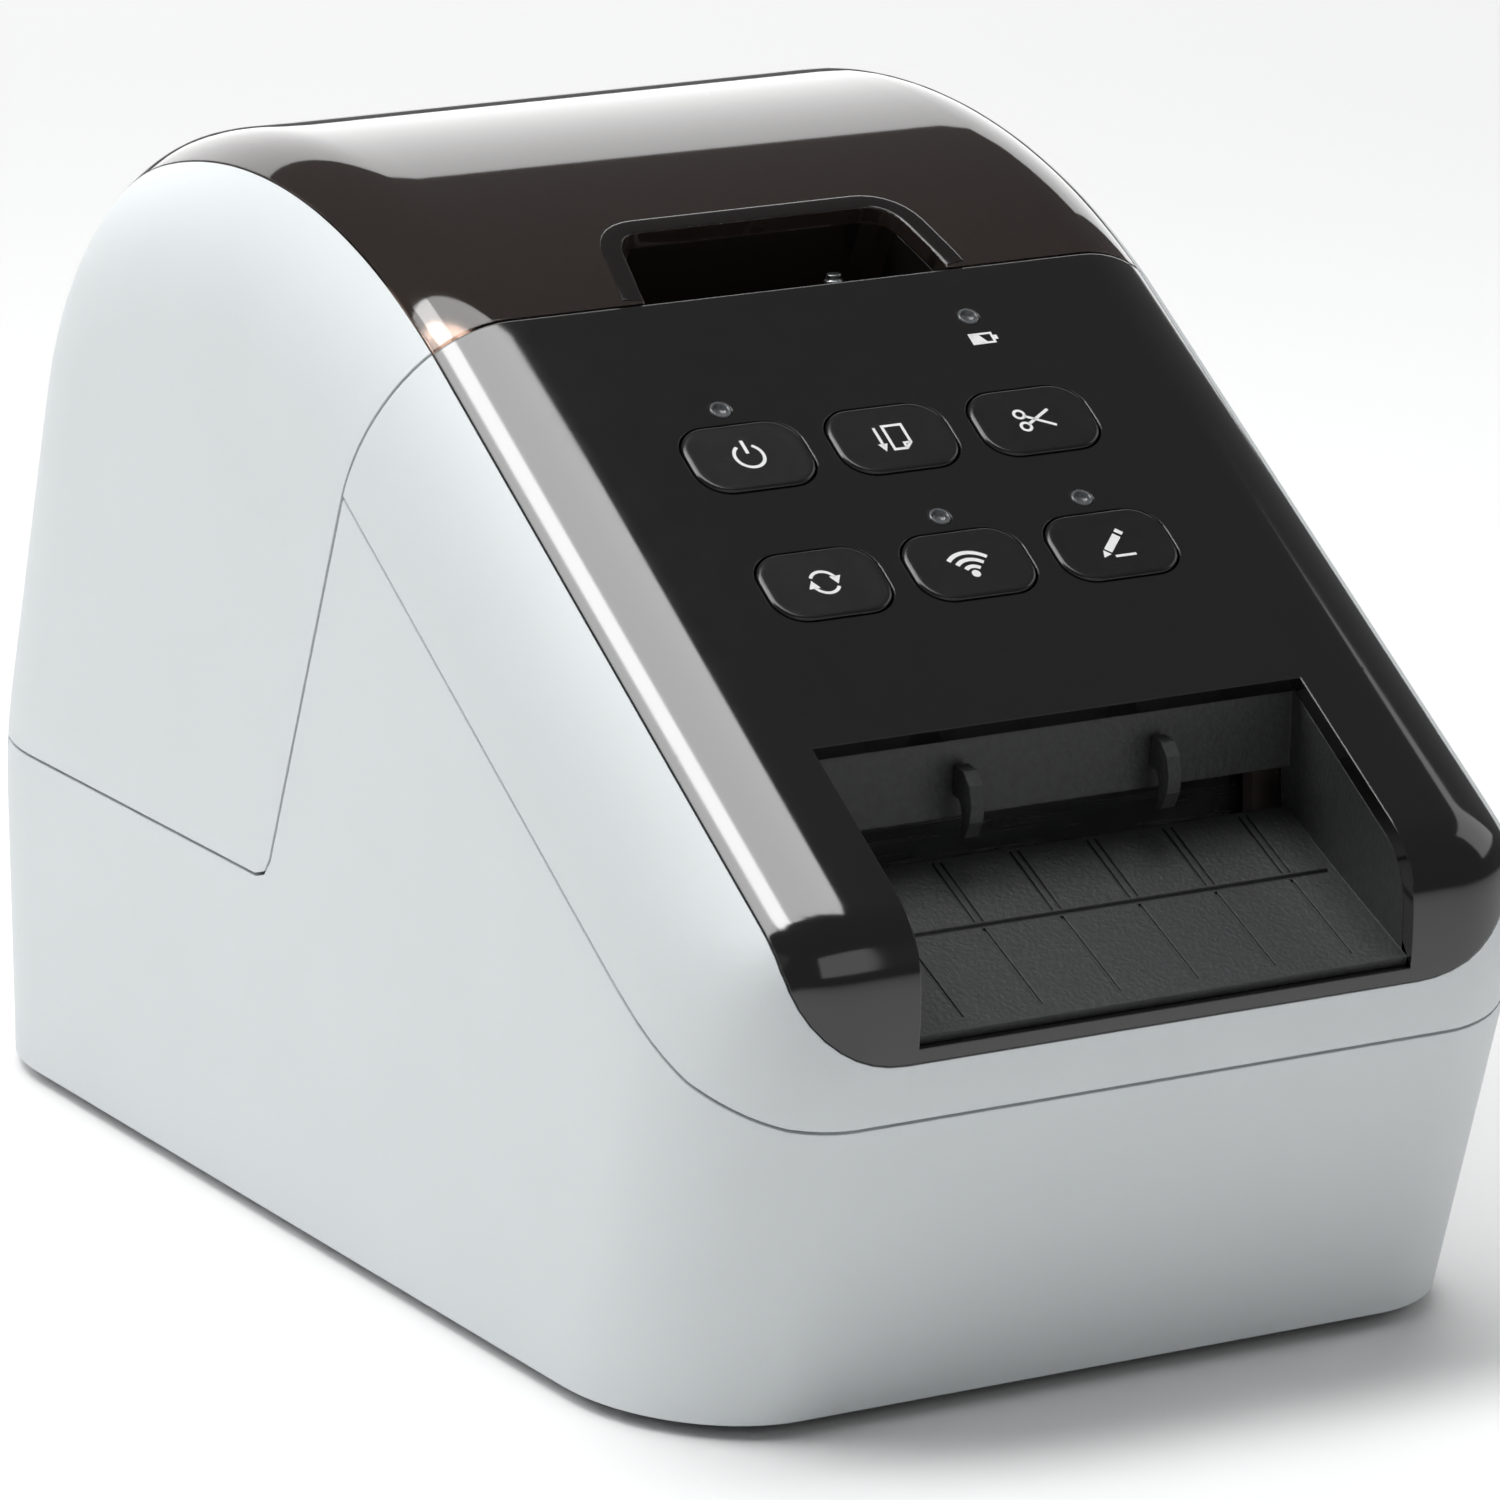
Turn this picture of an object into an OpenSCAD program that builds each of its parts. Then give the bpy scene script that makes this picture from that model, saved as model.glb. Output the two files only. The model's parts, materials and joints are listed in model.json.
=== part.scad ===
// Desktop label printer with a see-through roll lid, a sloping key panel and a front label tray.
// Millimetres. +Z up, the front faces -Y, the origin is under the middle of the resting face.

/* [Overall] */
// Width across the side walls
width = 125; // [115:0.5:135]
// Length from the nose to the back wall
depth = 234; // [220:1:250]
// Height of the lid crown above the table
height = 145; // [140:0.5:150]
// Height of the rubber feet
foot_height = 2; // [1:0.5:4]
// Wall thickness of the outer shells
wall = 2.4; // [1.8:0.1:3]

/* [Outer form] */
// Slope of the key panel from the horizontal
panel_slope = 32.7; // [25:0.1:40]
// Lean of the front wall from the vertical
front_lean = 20; // [10:1:25]
// Radius of the nose above the tray lip
nose_radius = 12; // [8:1:18]
// Half width of the flat part of the top
flat_half = 43; // [36:0.5:48]
// Drop of the shoulders at the side walls
shoulder_drop = 26; // [20:0.5:30]
// Half width of the black panel and of the lid window
black_half = 53.3; // [48:0.1:56]
// Gap left at every parting line
seam = 0.35; // [0.2:0.05:0.6]

/* [Lid] */
// Height of the lid's lower edge
lid_edge = 48.7; // [45:0.1:52]
// Hinge axis, distance behind the middle
hinge_y = 109.5; // [106:0.5:111]
// Hinge axis height
hinge_z = 54; // [52:0.5:58]
// Half width of the finger notch
notch_half = 22.5; // [15:0.5:28]
// Length of the finger notch along the lid
notch_len = 14.7; // [8:0.1:20]

/* [Keys] */
// Distance between key columns
key_pitch_x = 21.25; // [18:0.25:24]
// Distance between key rows along the panel
key_pitch_s = 23.5; // [18:0.5:26]
// First key row, distance down the panel from the lid seam
key_row = 29; // [24:0.5:34]
// Key width
key_w = 17.4; // [14:0.2:20]
// Key length along the slope
key_l = 11.8; // [9:0.2:14]
// Key corner radius
key_r = 4.4; // [2:0.2:5]
// Key travel
key_travel = 0.6; // [0.3:0.1:1.2]

/* [Tray] */
// Half width of the label recess
recess_half = 35.8; // [33:0.1:38]
// Spacing of the grooves in the tray floor
groove_pitch = 11.35; // [8:0.05:14]

/* [Drive] */
// Gear module
gear_m = 0.8; // [0.6:0.1:1]
// Platen roller radius
platen_r = 7; // [5:0.5:9]
// Radial running clearance of shafts
run_gap = 0.05; // [0.02:0.01:0.1]
// Travel of the moving blade
blade_travel = 9; // [6:0.5:10]

/* [Hidden] */
$fn = 64;
eps = 0.01;
half_w = width / 2;
y_front = -depth / 2;
y_back = depth / 2;
shoulder_w = half_w - flat_half;
ps = panel_slope;
back_lean = 18.6;

// Side outline in the YZ plane: each entry of an arc is [centre, radius, first normal, last normal].
crown_r = 107;
crown_y = 33;
crown_c = [crown_y, height - crown_r];
crown_end = 75;
tail_r = 54.4;
tail_c = crown_c + (crown_r - tail_r) * [cos(crown_end), sin(crown_end)];
panel_top = crown_c + crown_r * [cos(90 + ps), sin(90 + ps)];
nose_corner = panel_top[1] + (y_front - panel_top[0]) * tan(ps);
nose_z = nose_corner - nose_radius * tan((90 - ps) / 2);
nose_c = [y_front + nose_radius, nose_z];
chin_r = 56;
chin_c = [y_front + chin_r, nose_z];
chin_end = chin_c + chin_r * [cos(180 + front_lean), sin(180 + front_lean)];
toe_z = -40;
toe = [chin_end[0] + (chin_end[1] - toe_z) * tan(front_lean), toe_z];
tail_end = tail_c + tail_r * [cos(back_lean), sin(back_lean)];
heel_r = 20;
heel_z = tail_end[1] - (y_back - tail_end[0]) / tan(back_lean) - heel_r * tan(back_lean / 2);
heel_c = [y_back - heel_r, heel_z];

function arc(c, r, a0, a1, n) =
  [for (i = [0:n]) c + r * [cos(a0 + (a1 - a0) * i / n), sin(a0 + (a1 - a0) * i / n)]];
outline = concat(
  [toe],
  arc(chin_c, chin_r, 180 + front_lean, 180, 4),
  arc(nose_c, nose_radius, 180, 90 + ps, 7),
  arc(crown_c, crown_r, 90 + ps, crown_end, 9),
  arc(tail_c, tail_r, crown_end, back_lean, 8),
  arc(heel_c, heel_r, back_lean, 0, 3),
  [[y_back, toe_z]]
);

// Panel frame: origin on the panel at the lid seam, x across, y up the slope, z outward.
seam_top = [-22.9, panel_top[1] + (-22.9 - panel_top[0]) * tan(ps)];
// Lid parting line in the YZ plane
lid_dir = [-0.3946, 0.9189];
p3 = [-12.6, 106.4];
side_seam_depth = 24.7;
seam_line_z = side_seam_depth / cos(ps);
front_seam_z = chin_end[1];

// Label path and drive positions in the YZ plane
path_z = 75;
platen_c = [-52, path_z + platen_r + 0.05];
idler_t = 40;
platen_t = 30;
pinion_t = 14;
a_platen_idler = atan2(-24.25, 14);
d_pi = gear_m * (platen_t + idler_t) / 2;
idler_c = platen_c + d_pi * [cos(a_platen_idler), sin(a_platen_idler)];
a_idler_motor = atan2(-17.96, -12);
d_im = gear_m * (idler_t + pinion_t) / 2;
motor_c = idler_c + d_im * [cos(a_idler_motor), sin(a_idler_motor)];
head_c = [-33, 66];
rack_m = 1;
cutter_t = 12;
cutter_wheel_t = 32;
cutter_pinion_t = 10;
cutter_c = [-63, 60];
a_cut = atan2(-16, 5);
d_cut = gear_m * (cutter_wheel_t + cutter_pinion_t) / 2;
cut_motor_c = cutter_c + d_cut * [cos(a_cut), sin(a_cut)];
blade_y = -74.6;
frame_x = 40;
frame_t = 1.5;

// Key centres: [column, row]
key_pos = [[-1, 0], [0, 0], [1, 0], [-1, 1], [0, 1], [1, 1]];
lamp_pos = [[-key_pitch_x, key_row - 8.9], [key_pitch_x, key_row - 20.2],
            [0, key_row + key_pitch_s - 8.9], [key_pitch_x, key_row + key_pitch_s - 8.9]];
lamp_r = 1.5;
plate_half = 41;
plate_s0 = 3.5;
plate_s1 = 75;
boss_pos = [[-35.2, 12], [35.2, 12], [-35.2, 56], [35.2, 56]];
knuckle_r = 9.3;
plate_t = 2.4;

// ---- helpers ----

// Extrudes a YZ outline along X from x0 to x1.
module along_x(x0, x1) {
  translate([x0, 0, 0])
    rotate([90, 0, 90])
      linear_extrude(x1 - x0)
        children();
}

// Round bar along X.
module bar_x(x0, x1, c, r) {
  translate([x0, c[0], c[1]])
    rotate([0, 90, 0])
      cylinder(h = x1 - x0, r = r);
}

// Places children in the panel frame.
module on_panel() {
  translate([0, seam_top[0], seam_top[1]])
    rotate([ps, 0, 0])
      children();
}

// Rectangle with round corners made of squares and circles only.
module round_rect(w, h, r) {
  square([w - 2 * r, h], center = true);
  square([w, h - 2 * r], center = true);
  for (i = [-1, 1])
    for (j = [-1, 1])
      translate([i * (w / 2 - r), j * (h / 2 - r)])
        circle(r);
}

// Thin slice of the body at shoulder angle a for a shell of inset t.
module body_slice(side, a, t) {
  x = flat_half + (shoulder_w - t) * cos(a);
  d = t + (shoulder_drop - t) * (1 - sin(a));
  translate([side * x - 0.005, 0, 0])
    rotate([90, 0, 90])
      linear_extrude(0.01)
        intersection() {
          offset(delta = -d)
            polygon(outline);
          translate([-200, foot_height])
            square([400, 300]);
        }
}

// The whole outer form, inset by t. It is convex, so the slices are joined in one go.
module body(t) {
  steps = 7;
  hull()
    for (side = [-1, 1])
      for (i = [0:steps])
        body_slice(side, 90 - 90 * i / steps, t);
}

// Height of the slanted side parting line at a given y.
function side_seam(y) = panel_top[1] + (y - panel_top[0]) * tan(ps) - seam_line_z;
y_bend = panel_top[0] + (front_seam_z + seam_line_z - panel_top[1]) / tan(ps);

// YZ region of the lower housing, g is the half gap left along its parting lines.
module low_region(g) {
  polygon([[-150, -5], [150, -5], [150, lid_edge - g], [16.5, lid_edge - g],
    [13.6, lid_edge + 0.9 - g], [11.8 - g, lid_edge + 2.8],
    [p3[0] - g * 1.1, p3[1] - g * 1.8], [y_bend + 10, side_seam(y_bend + 10) - 1.2 * g],
    [y_bend, front_seam_z + 1.6 - g], [y_bend - 6, front_seam_z - g], [-150, front_seam_z - g]]);
}

// YZ region of the bezel and panel.
module bezel_region(g) {
  polygon([[-150, front_seam_z + g], [y_bend - 6, front_seam_z + g], [y_bend, front_seam_z + 1.6 + g],
    [y_bend + 10, side_seam(y_bend + 10) + 1.2 * g],
    [p3[0] - 1.1 * g, p3[1] + 0.5 * g],
    [p3[0] + 60 * lid_dir[0] - 1.1 * g, p3[1] + 60 * lid_dir[1]], [-150, 200]]);
}

// YZ region of the lid. Its rear edge is rounded about the hinge, so that it can turn inside the housing.
module lid_region(g) {
  dip = asin((hinge_z - lid_edge - g) / knuckle_r);
  knuckle = [for (k = [0:24])
    let (a = -dip - k * (180 - 2 * dip) / 24) [hinge_y, hinge_z] + knuckle_r * [cos(a), sin(a)]];
  polygon(concat([[150, lid_edge + g]], knuckle, [[16.5, lid_edge + g], [13.6, lid_edge + 0.9 + g],
    [11.8 + g, lid_edge + 2.8 + g], [p3[0] + 1.1 * g, p3[1]],
    [p3[0] + 60 * lid_dir[0] + 1.1 * g, p3[1] + 60 * lid_dir[1]], [0, 220], [150, 220]]));
}

// Front outline of the black panel, cut along Y.
module black_prism(g) {
  r = 16;
  translate([0, -15, 0])
    rotate([90, 0, 0])
      linear_extrude(120)
        union() {
          translate([-black_half + g, 52 + r])
            square([2 * black_half - 2 * g, 160]);
          translate([-black_half + r, 52 + g])
            square([2 * black_half - 2 * r, 160]);
          for (s = [-1, 1])
            translate([s * (black_half - r), 52 + r])
              circle(r - g);
        }
}

// Gear outline with z teeth of module m.
module gear_2d(z, m) {
  r = z * m / 2;
  p = 360 / z;
  pts = [for (k = [0:z - 1])
    for (q = [[-0.29, r - 1.2 * m], [-0.18, r], [-0.09, r + 0.85 * m],
              [0.09, r + 0.85 * m], [0.18, r], [0.29, r - 1.2 * m]])
      q[1] * [cos((k + q[0]) * p), sin((k + q[0]) * p)]];
  polygon(pts);
}

// Gear on an X axis at c, turned by a degrees, with a bore.
module gear_x(x0, x1, c, z, m, a, bore) {
  difference() {
    translate([x0, c[0], c[1]])
      rotate([90, 0, 90])
        linear_extrude(x1 - x0)
          rotate(a)
            gear_2d(z, m);
    if (bore > 0)
      bar_x(x0 - 1, x1 + 1, c, bore);
  }
}

// Turn of a driven gear that meshes with a gear turned by a1 at direction dir.
function mesh_turn(a1, z1, z2, dir) = dir + 180 - (360 / z2) * (0.5 - (dir - a1) * z1 / 360);

// ---- outer shells ----

module lower_housing() {
  color("#dfe4e4")
    difference() {
      intersection() {
        body(0);
        along_x(-80, 80)
          low_region(seam / 2);
      }
      body(wall);
      // relief for the swing of the lid's rear lower edge
      bar_x(-80, 80, [hinge_y, hinge_z], knuckle_r + 0.4);
      // rear openings for the mains inlet and the data port
      translate([16.7, 105, 11.3])
        cube([23.6, 20, 16.6]);
      translate([-33.3, 105, 11.3])
        cube([13.6, 20, 12.6]);
      // exhaust slots in the rear wall
      for (i = [0:4])
        translate([-13 + i * 6, 105, 13])
          cube([2.4, 20, 18]);
    }
}

module bezel() {
  color("#dfe4e4")
    difference() {
      intersection() {
        body(0);
        along_x(-80, 80)
          bezel_region(seam / 2);
      }
      body(wall);
      black_prism(0);
    }
}

module control_panel() {
  color("#101113")
    difference() {
      intersection() {
        body(0);
        along_x(-80, 80)
          bezel_region(seam / 2);
        black_prism(0.2);
      }
      body(wall);
      // opening for the flat key plate
      on_panel()
        translate([-plate_half - 0.1, -plate_s1 - 0.1, -8])
          cube([2 * plate_half + 0.2, plate_s1 - plate_s0 + 0.2, 20]);
      // opening for the tray
      along_x(-recess_half - 1.6, recess_half + 1.6)
        tray_opening();
    }
}

module tray_opening() {
  polygon([[-87.3, 100], [-87.3, 85], [-85.2, 73], [-85.2, 62], [-98, 56], [-112.4, 50],
    [-112.4, 54.1], [-140, 54.1], [-140, 76], [-92, 100]]);
}

module base_plate() {
  pts = concat(
    [for (i = [0:6]) [flat_half + (shoulder_w - wall - 0.15) * cos(90 - 15 * i),
      toe_front + (shoulder_drop - wall) * (1 - sin(90 - 15 * i))]],
    [for (i = [0:6]) [flat_half + (shoulder_w - wall - 0.15) * cos(15 * i),
      y_back - wall - 0.2 - (shoulder_drop - wall) * (1 - sin(15 * i))]]);
  all = concat(pts, [for (i = [0:13]) [-pts[13 - i][0], pts[13 - i][1]]]);
  color("#3a3d40")
    difference() {
      union() {
        translate([0, 0, foot_height])
          linear_extrude(3)
            polygon(all);
        for (p = post_pos)
          translate([p[0], p[1], 4.9]) {
            cylinder(h = 5.1, r = 3);
            cylinder(h = 7.4, r = 1.5);
          }
      }
      for (p = foot_pos)
        translate([p[0], p[1], foot_height - 1])
          cylinder(h = 1.6, r = 6.6);
      for (p = screw_pos) {
        translate([p[0], p[1], foot_height - 1])
          cylinder(h = 6, r = 1.7);
        translate([p[0], p[1], foot_height - 1])
          cylinder(h = 2.6, r = 3.4);
      }
      // ventilation slots
      for (i = [-3:3])
        translate([i * 8 - 1.2, 24, 0])
          cube([2.4, 26, 10]);
    }
}
toe_front = chin_end[0] + (chin_end[1] - foot_height) * tan(front_lean) + wall / cos(front_lean) + 0.3;
foot_pos = [[-44, -78], [44, -78], [-44, 80], [44, 80]];
screw_pos = [[-34, -60], [34, -60], [-45, 96.8], [45, 96.8]];
post_pos = [for (x = [-52, -10, 10, 50]) for (y = [4, 68]) [x, y]];

module rubber_feet() {
  color("#1c1c1e")
    for (p = foot_pos)
      translate([p[0], p[1], 0])
        cylinder(h = foot_height + 0.6, r = 6.5);
}

// ---- key panel ----

module key_plate() {
  color("#141517")
    difference() {
      on_panel()
        for (b = boss_pos)
          translate([b[0], -b[1], board_z + 1.6])
            cylinder(h = -board_z - 1.7, r = 2.6);
      on_panel()
        for (b = boss_pos)
          translate([b[0], -b[1], board_z])
            cylinder(h = -board_z - 1.2, r = 1.4);
    }
  color("#141517")
    difference() {
      on_panel()
        translate([0, 0, -plate_t])
          linear_extrude(plate_t)
            difference() {
              translate([-plate_half, -plate_s1])
                square([2 * plate_half, plate_s1 - plate_s0]);
              for (k = key_pos)
                translate([k[0] * key_pitch_x, -key_row - k[1] * key_pitch_s])
                  round_rect(key_w + 0.6, key_l + 0.6, key_r + 0.3);
              for (l = lamp_pos)
                translate([l[0], -l[1]])
                  circle(lamp_r + 0.05);
            }
    }
}

// One key: cap, skirt and stem, k is its [column, row].
module key(k) {
  on_panel()
    translate([k[0] * key_pitch_x, -key_row - k[1] * key_pitch_s, 0])
      difference() {
        union() {
          translate([0, 0, -2.7])
            linear_extrude(3)
              round_rect(key_w, key_l, key_r);
          translate([0, 0, -3.5])
            linear_extrude(0.8)
              round_rect(key_w + 3, key_l + 2.4, key_r);
        }
        translate([0, 0, -4])
          linear_extrude(3)
            round_rect(key_w - 2.4, key_l - 2.4, key_r - 1.2);
      }
  on_panel()
    translate([k[0] * key_pitch_x, -key_row - k[1] * key_pitch_s, -5.4])
      cylinder(h = 4.5, r = 1.6);
}

module button_power() { color("#191a1c") key(key_pos[0]); }
module button_feed() { color("#191a1c") key(key_pos[1]); }
module button_cut() { color("#191a1c") key(key_pos[2]); }
module button_pair() { color("#191a1c") key(key_pos[3]); }
module button_wireless() { color("#191a1c") key(key_pos[4]); }
module button_edit() { color("#191a1c") key(key_pos[5]); }

module indicator_lenses() {
  color("#c8ccd0")
    for (l = lamp_pos)
      on_panel()
        translate([l[0], -l[1], -7])
          cylinder(h = 6.9, r = lamp_r);
}

board_z = -10.2;

module key_board() {
  color("#1f5a3a")
    on_panel()
      difference() {
        translate([-38.4, -61, board_z])
          cube([76.8, 54.5, 1.6]);
        for (b = boss_pos)
          translate([b[0], -b[1], board_z - 1])
            cylinder(h = 4, r = 1.6);
      }
}

module key_switches() {
  color("#8f9296")
    for (k = key_pos)
      on_panel()
        translate([k[0] * key_pitch_x, -key_row - k[1] * key_pitch_s, board_z + 1.6]) {
          translate([-3, -3, 0])
            cube([6, 6, 1.9]);
          cylinder(h = 2.3, r = 1.5);
        }
}

// ---- tray ----

// Tray floor line in the YZ plane
tray_rear = [-86.6, 68.6];
tray_fold = [-98.5, 62.9];
tray_lip = [-115.6, 55.4];
recess_top = [-89.2, 86.5];
slot_top = 74;
// Front face of the recess's rear wall at height z
function face_y(z) = recess_top[0] + (recess_top[1] - z) * 0.152;

module tray_floor() {
  polygon([tray_rear, tray_fold, tray_lip, [-115.2, 54.3], [-111.6, 54.3], [-98, 60.6], [-86.6, 66]]);
}

module tray_side() {
  intersection() {
    polygon(outline);
    polygon([[-85.4, 66], [-98, 60.4], [-112, 54.1], [-140, 54.1], [-140, 76], [-90.3, 100],
      [-87.8, 100], [-87.8, 85], [-85.4, 73]]);
  }
}

module output_tray() {
  color("#232426")
    difference() {
      union() {
        along_x(-recess_half - 0.1, recess_half + 0.1)
          tray_floor();
        for (s = [-1, 1])
          along_x(s * (recess_half + 0.7) - 0.7, s * (recess_half + 0.7) + 0.7)
            tray_side();
        // rear wall of the recess
        along_x(-recess_half - 0.1, recess_half + 0.1)
          intersection() {
            polygon(outline);
            polygon([[face_y(slot_top), slot_top], [face_y(88), 88], [face_y(88) + 1.3, 88],
              [face_y(slot_top) + 1.3, slot_top]]);
          }
      }
      // crease across the fold
      along_x(-recess_half + 1, recess_half - 1)
        polygon([tray_fold + [-0.35, 1], tray_fold + [0.35, 1], tray_fold + [0.35, -0.3],
          tray_fold + [-0.35, -0.3]]);
      // single grooves on the front half
      for (i = [0:5])
        translate([(i - 2.5) * groove_pitch + 0.4, tray_fold[0], tray_fold[1]])
          rotate([atan2(tray_fold[1] - tray_lip[1], tray_fold[0] - tray_lip[0]), 0, 0])
            translate([-0.25, -16.3, -0.35])
              cube([0.5, 15.6, 2]);
      // paired grooves on the rear half
      for (i = [1:5])
        for (j = [-1, 1])
          translate([(i - 2.5) * groove_pitch + 0.4 + j * 0.6, tray_fold[0], tray_fold[1]])
            rotate([atan2(tray_rear[1] - tray_fold[1], tray_rear[0] - tray_fold[0]), 0, 0])
              translate([-0.2, 0.7, -0.35])
                cube([0.4, 12, 2]);
    }
}

module guide_fingers() {
  color("#1a1b1d")
    for (x = [-13.5, 15.5])
      along_x(x - 1, x + 1)
        polygon([[face_y(81), 81], [-90.6, 80.6], [-92, 79], [-92.5, 76.6], [-92, 74.2], [-90.7, 72],
          [-89.7, 71.7], [-90, 73.8], [-90, 75.6], [-89.4, 76.8], [face_y(77), 77]]);
}

// ---- lid ----

// Edge of the window toward the lid's rear band
window_low = 62;

module window_prism(g) {
  translate([-black_half + g, -60, window_low + g])
    cube([2 * black_half - 2 * g, 220, 120]);
}

module lid_shell() {
  color("#dfe4e4")
    difference() {
      intersection() {
        body(0);
        along_x(-80, 80)
          lid_region(seam / 2);
      }
      body(wall);
      window_prism(0);
      // round hollows in which the hinge brackets' eyes turn
      for (s = [-1, 1])
        bar_x(s * 45 - 2.4, s * 45 + 2.4, [hinge_y, hinge_z], 3.7);
    }
}

module notch_2d(g) {
  polygon([[-notch_half - g - 1.5, 10], [-notch_half - g, -notch_len * 0.2],
    [-notch_half + 1.5 - g, -notch_len + 3], [-notch_half + 2.6 - g, -notch_len + 0.9 - g],
    [-notch_half + 5, -notch_len - g], [notch_half - 5, -notch_len - g],
    [notch_half - 2.6 + g, -notch_len + 0.9 - g], [notch_half - 1.5 + g, -notch_len + 3],
    [notch_half + g, -notch_len * 0.2], [notch_half + g + 1.5, 10]]);
}

// Cuts the notch square to the lid surface next to the seam.
module notch_cut(g) {
  translate([0, -23.2, 130.4])
    rotate([29, 0, 0])
      translate([0, 0, -30])
        linear_extrude(50)
          mirror([0, 1])
            notch_2d(g);
}

module lid_window() {
  color([0.16, 0.12, 0.10, 0.75])
    difference() {
      intersection() {
        body(0);
        along_x(-80, 80)
          lid_region(seam / 2);
        window_prism(0.2);
      }
      body(wall);
      notch_cut(0);
    }
}

// Collar that hangs from the lid around the finger notch.
module lid_grip_frame() {
  color("#191512")
    intersection() {
      difference() {
        notch_cut(1.6);
        notch_cut(0.02);
        translate([-60, -60, 0])
          cube([120, 200, 121]);
      }
      along_x(-30, 30)
        intersection() {
          polygon(concat([for (a = [90 + ps : -3 : 72])
            crown_c + (crown_r - wall - 0.25) * [cos(a), sin(a)]], [[40, 116], [-30, 116]]));
          lid_region(seam / 2 + 0.1);
        }
    }
}

module lid_hinge_arms() {
  color("#d8dddd")
    for (s = [-1, 1])
      difference() {
        union() {
          along_x(s * 39.5 - 2.5, s * 39.5 + 2.5)
            polygon([[hinge_y - 4.2, hinge_z], arm_line(56) - [0.2, 0], arm_line(84), arm_line(84) - [3, 0],
              [hinge_y - 4.4, 66]]);
          bar_x(s * 39.5 - 2.5, s * 39.5 + 2.5, [hinge_y, hinge_z], 3.4);
        }
        bar_x(s * 39.5 - 3, s * 39.5 + 3, [hinge_y, hinge_z], 2);
      }
}
// Inner face of the lid's sloping back at height z
function arm_line(z) = [tail_end[0] + (tail_end[1] - z) * tan(back_lean) - (wall + 0.02) / cos(back_lean), z];

module hinge_pins() {
  color("#b9bcc0")
    for (s = [-1, 1])
      bar_x(s * 42 - 5, s * 42 + 5, [hinge_y, hinge_z], 2);
}

module hinge_brackets() {
  color("#2a2c2e")
    for (s = [-1, 1])
      difference() {
        union() {
          along_x(s * 45 - 1.8, s * 45 + 1.8)
            polygon([[92, 5], [101.5, 5], [101.5, hinge_z - 3.6], [hinge_y - 1, hinge_z - 3],
              [hinge_y - 1, hinge_z + 3], [99, hinge_z + 3.6], [92, 44]]);
          bar_x(s * 45 - 1.8, s * 45 + 1.8, [hinge_y, hinge_z], 3.15);
        }
        bar_x(s * 45 - 3, s * 45 + 3, [hinge_y, hinge_z], 2 + run_gap);
        translate([s * 45, 96.8, 4])
          cylinder(h = 6, r = 1.3);
      }
}

// ---- roll bay ----

roll_c = [44, 66];
roll_r = 42;

module roll_cradle() {
  color("#2b2826")
    difference() {
      along_x(-37.5, 37.5)
        difference() {
          union() {
            intersection() {
              translate(roll_c)
                circle(roll_r + 2);
              translate([-10, 0])
                square([110, 46.5]);
            }
            translate([-8, 44.5])
              square([104, 2]);
            translate([-8, 44.5])
              square([2.4, 27]);
            translate([-8, 5])
              square([2.4, 40]);
            translate([93.6, 30])
              square([2.4, 15]);
          }
          translate(roll_c)
            circle(roll_r);
        }
      // cable opening
      translate([-20, -9, 8])
        cube([40, 5, 12]);
    }
}

module spool_supports() {
  color("#2b2826")
    for (s = [-1, 1])
      along_x(s * 38.5 - 0.98, s * 38.5 + 0.98)
        difference() {
          intersection() {
            translate(roll_c)
              circle(roll_r + 2);
            translate([-20, 5])
              square([140, 73]);
          }
          translate([roll_c[0] - 6, roll_c[1]])
            square([12, 60]);
          translate(roll_c)
            circle(6);
        }
}

// ---- mechanism ----

module mech_frame() {
  color("#8d9194")
    difference() {
      union() {
        for (s = [-1, 1])
          along_x(s * frame_x - frame_t / 2, s * frame_x + frame_t / 2)
            polygon([[-71, 5], [-18, 5], [-18, 70], [-32, 93], [-58, 91.5], [-71, 80]]);
        // feet of the side plates, turned inward
        for (s = [-1, 1])
          translate([s * (frame_x - 4.5) - 5, -70, 5])
            cube([10, 50, 1.5]);
        // cross plates
        along_x(-frame_x, frame_x)
          polygon([[-19.5, 30], [-18, 30], [-18, 66], [-19.5, 66]]);
        along_x(-frame_x, frame_x)
          polygon([[-71, 20], [-69.5, 20], [-69.5, 33], [-71, 33]]);
        along_x(-frame_x, frame_x)
          polygon([[-71, 46], [-69.5, 46], [-69.5, 60], [-71, 60]]);
      }
      bar_x(-50, 50, platen_c, 5);
      bar_x(-50, 0, idler_c, 2.52);
      bar_x(-50, 0, motor_c, 7);
      bar_x(-50, 50, head_c, 2 + run_gap);
      bar_x(0, 50, cutter_c, 2.52);
      bar_x(0, 50, cut_motor_c, 4.2);
      for (p = [[-34, -60], [34, -60]])
        translate([p[0], p[1], 4])
          cylinder(h = 4, r = 1.3);
    }
}

module platen_bushings() {
  color("#e8e2cf")
    for (s = [-1, 1])
      difference() {
        union() {
          bar_x(s * 40.4 - 1.6, s * 40.4 + 1.6, platen_c, 4.98);
          bar_x(s * 41.5 - 0.7, s * 41.5 + 0.7, platen_c, 6);
        }
        bar_x(s * 41 - 4, s * 41 + 4, platen_c, 2.5 + run_gap);
      }
}

module platen_shaft() {
  color("#c3c6c9")
    bar_x(-50, 43.5, platen_c, 2.5);
}

module platen_roller() {
  color("#26272a")
    difference() {
      bar_x(-33, 33, platen_c, platen_r);
      bar_x(-34, 34, platen_c, 2.5);
    }
}

turn_platen = a_platen_idler;
turn_idler = mesh_turn(turn_platen, platen_t, idler_t, a_platen_idler);
turn_motor = mesh_turn(turn_idler, idler_t, pinion_t, a_idler_motor);

module platen_gear() {
  color("#e6e0c8")
    gear_x(-49, -44, platen_c, platen_t, gear_m, turn_platen, 2.5);
}

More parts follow.
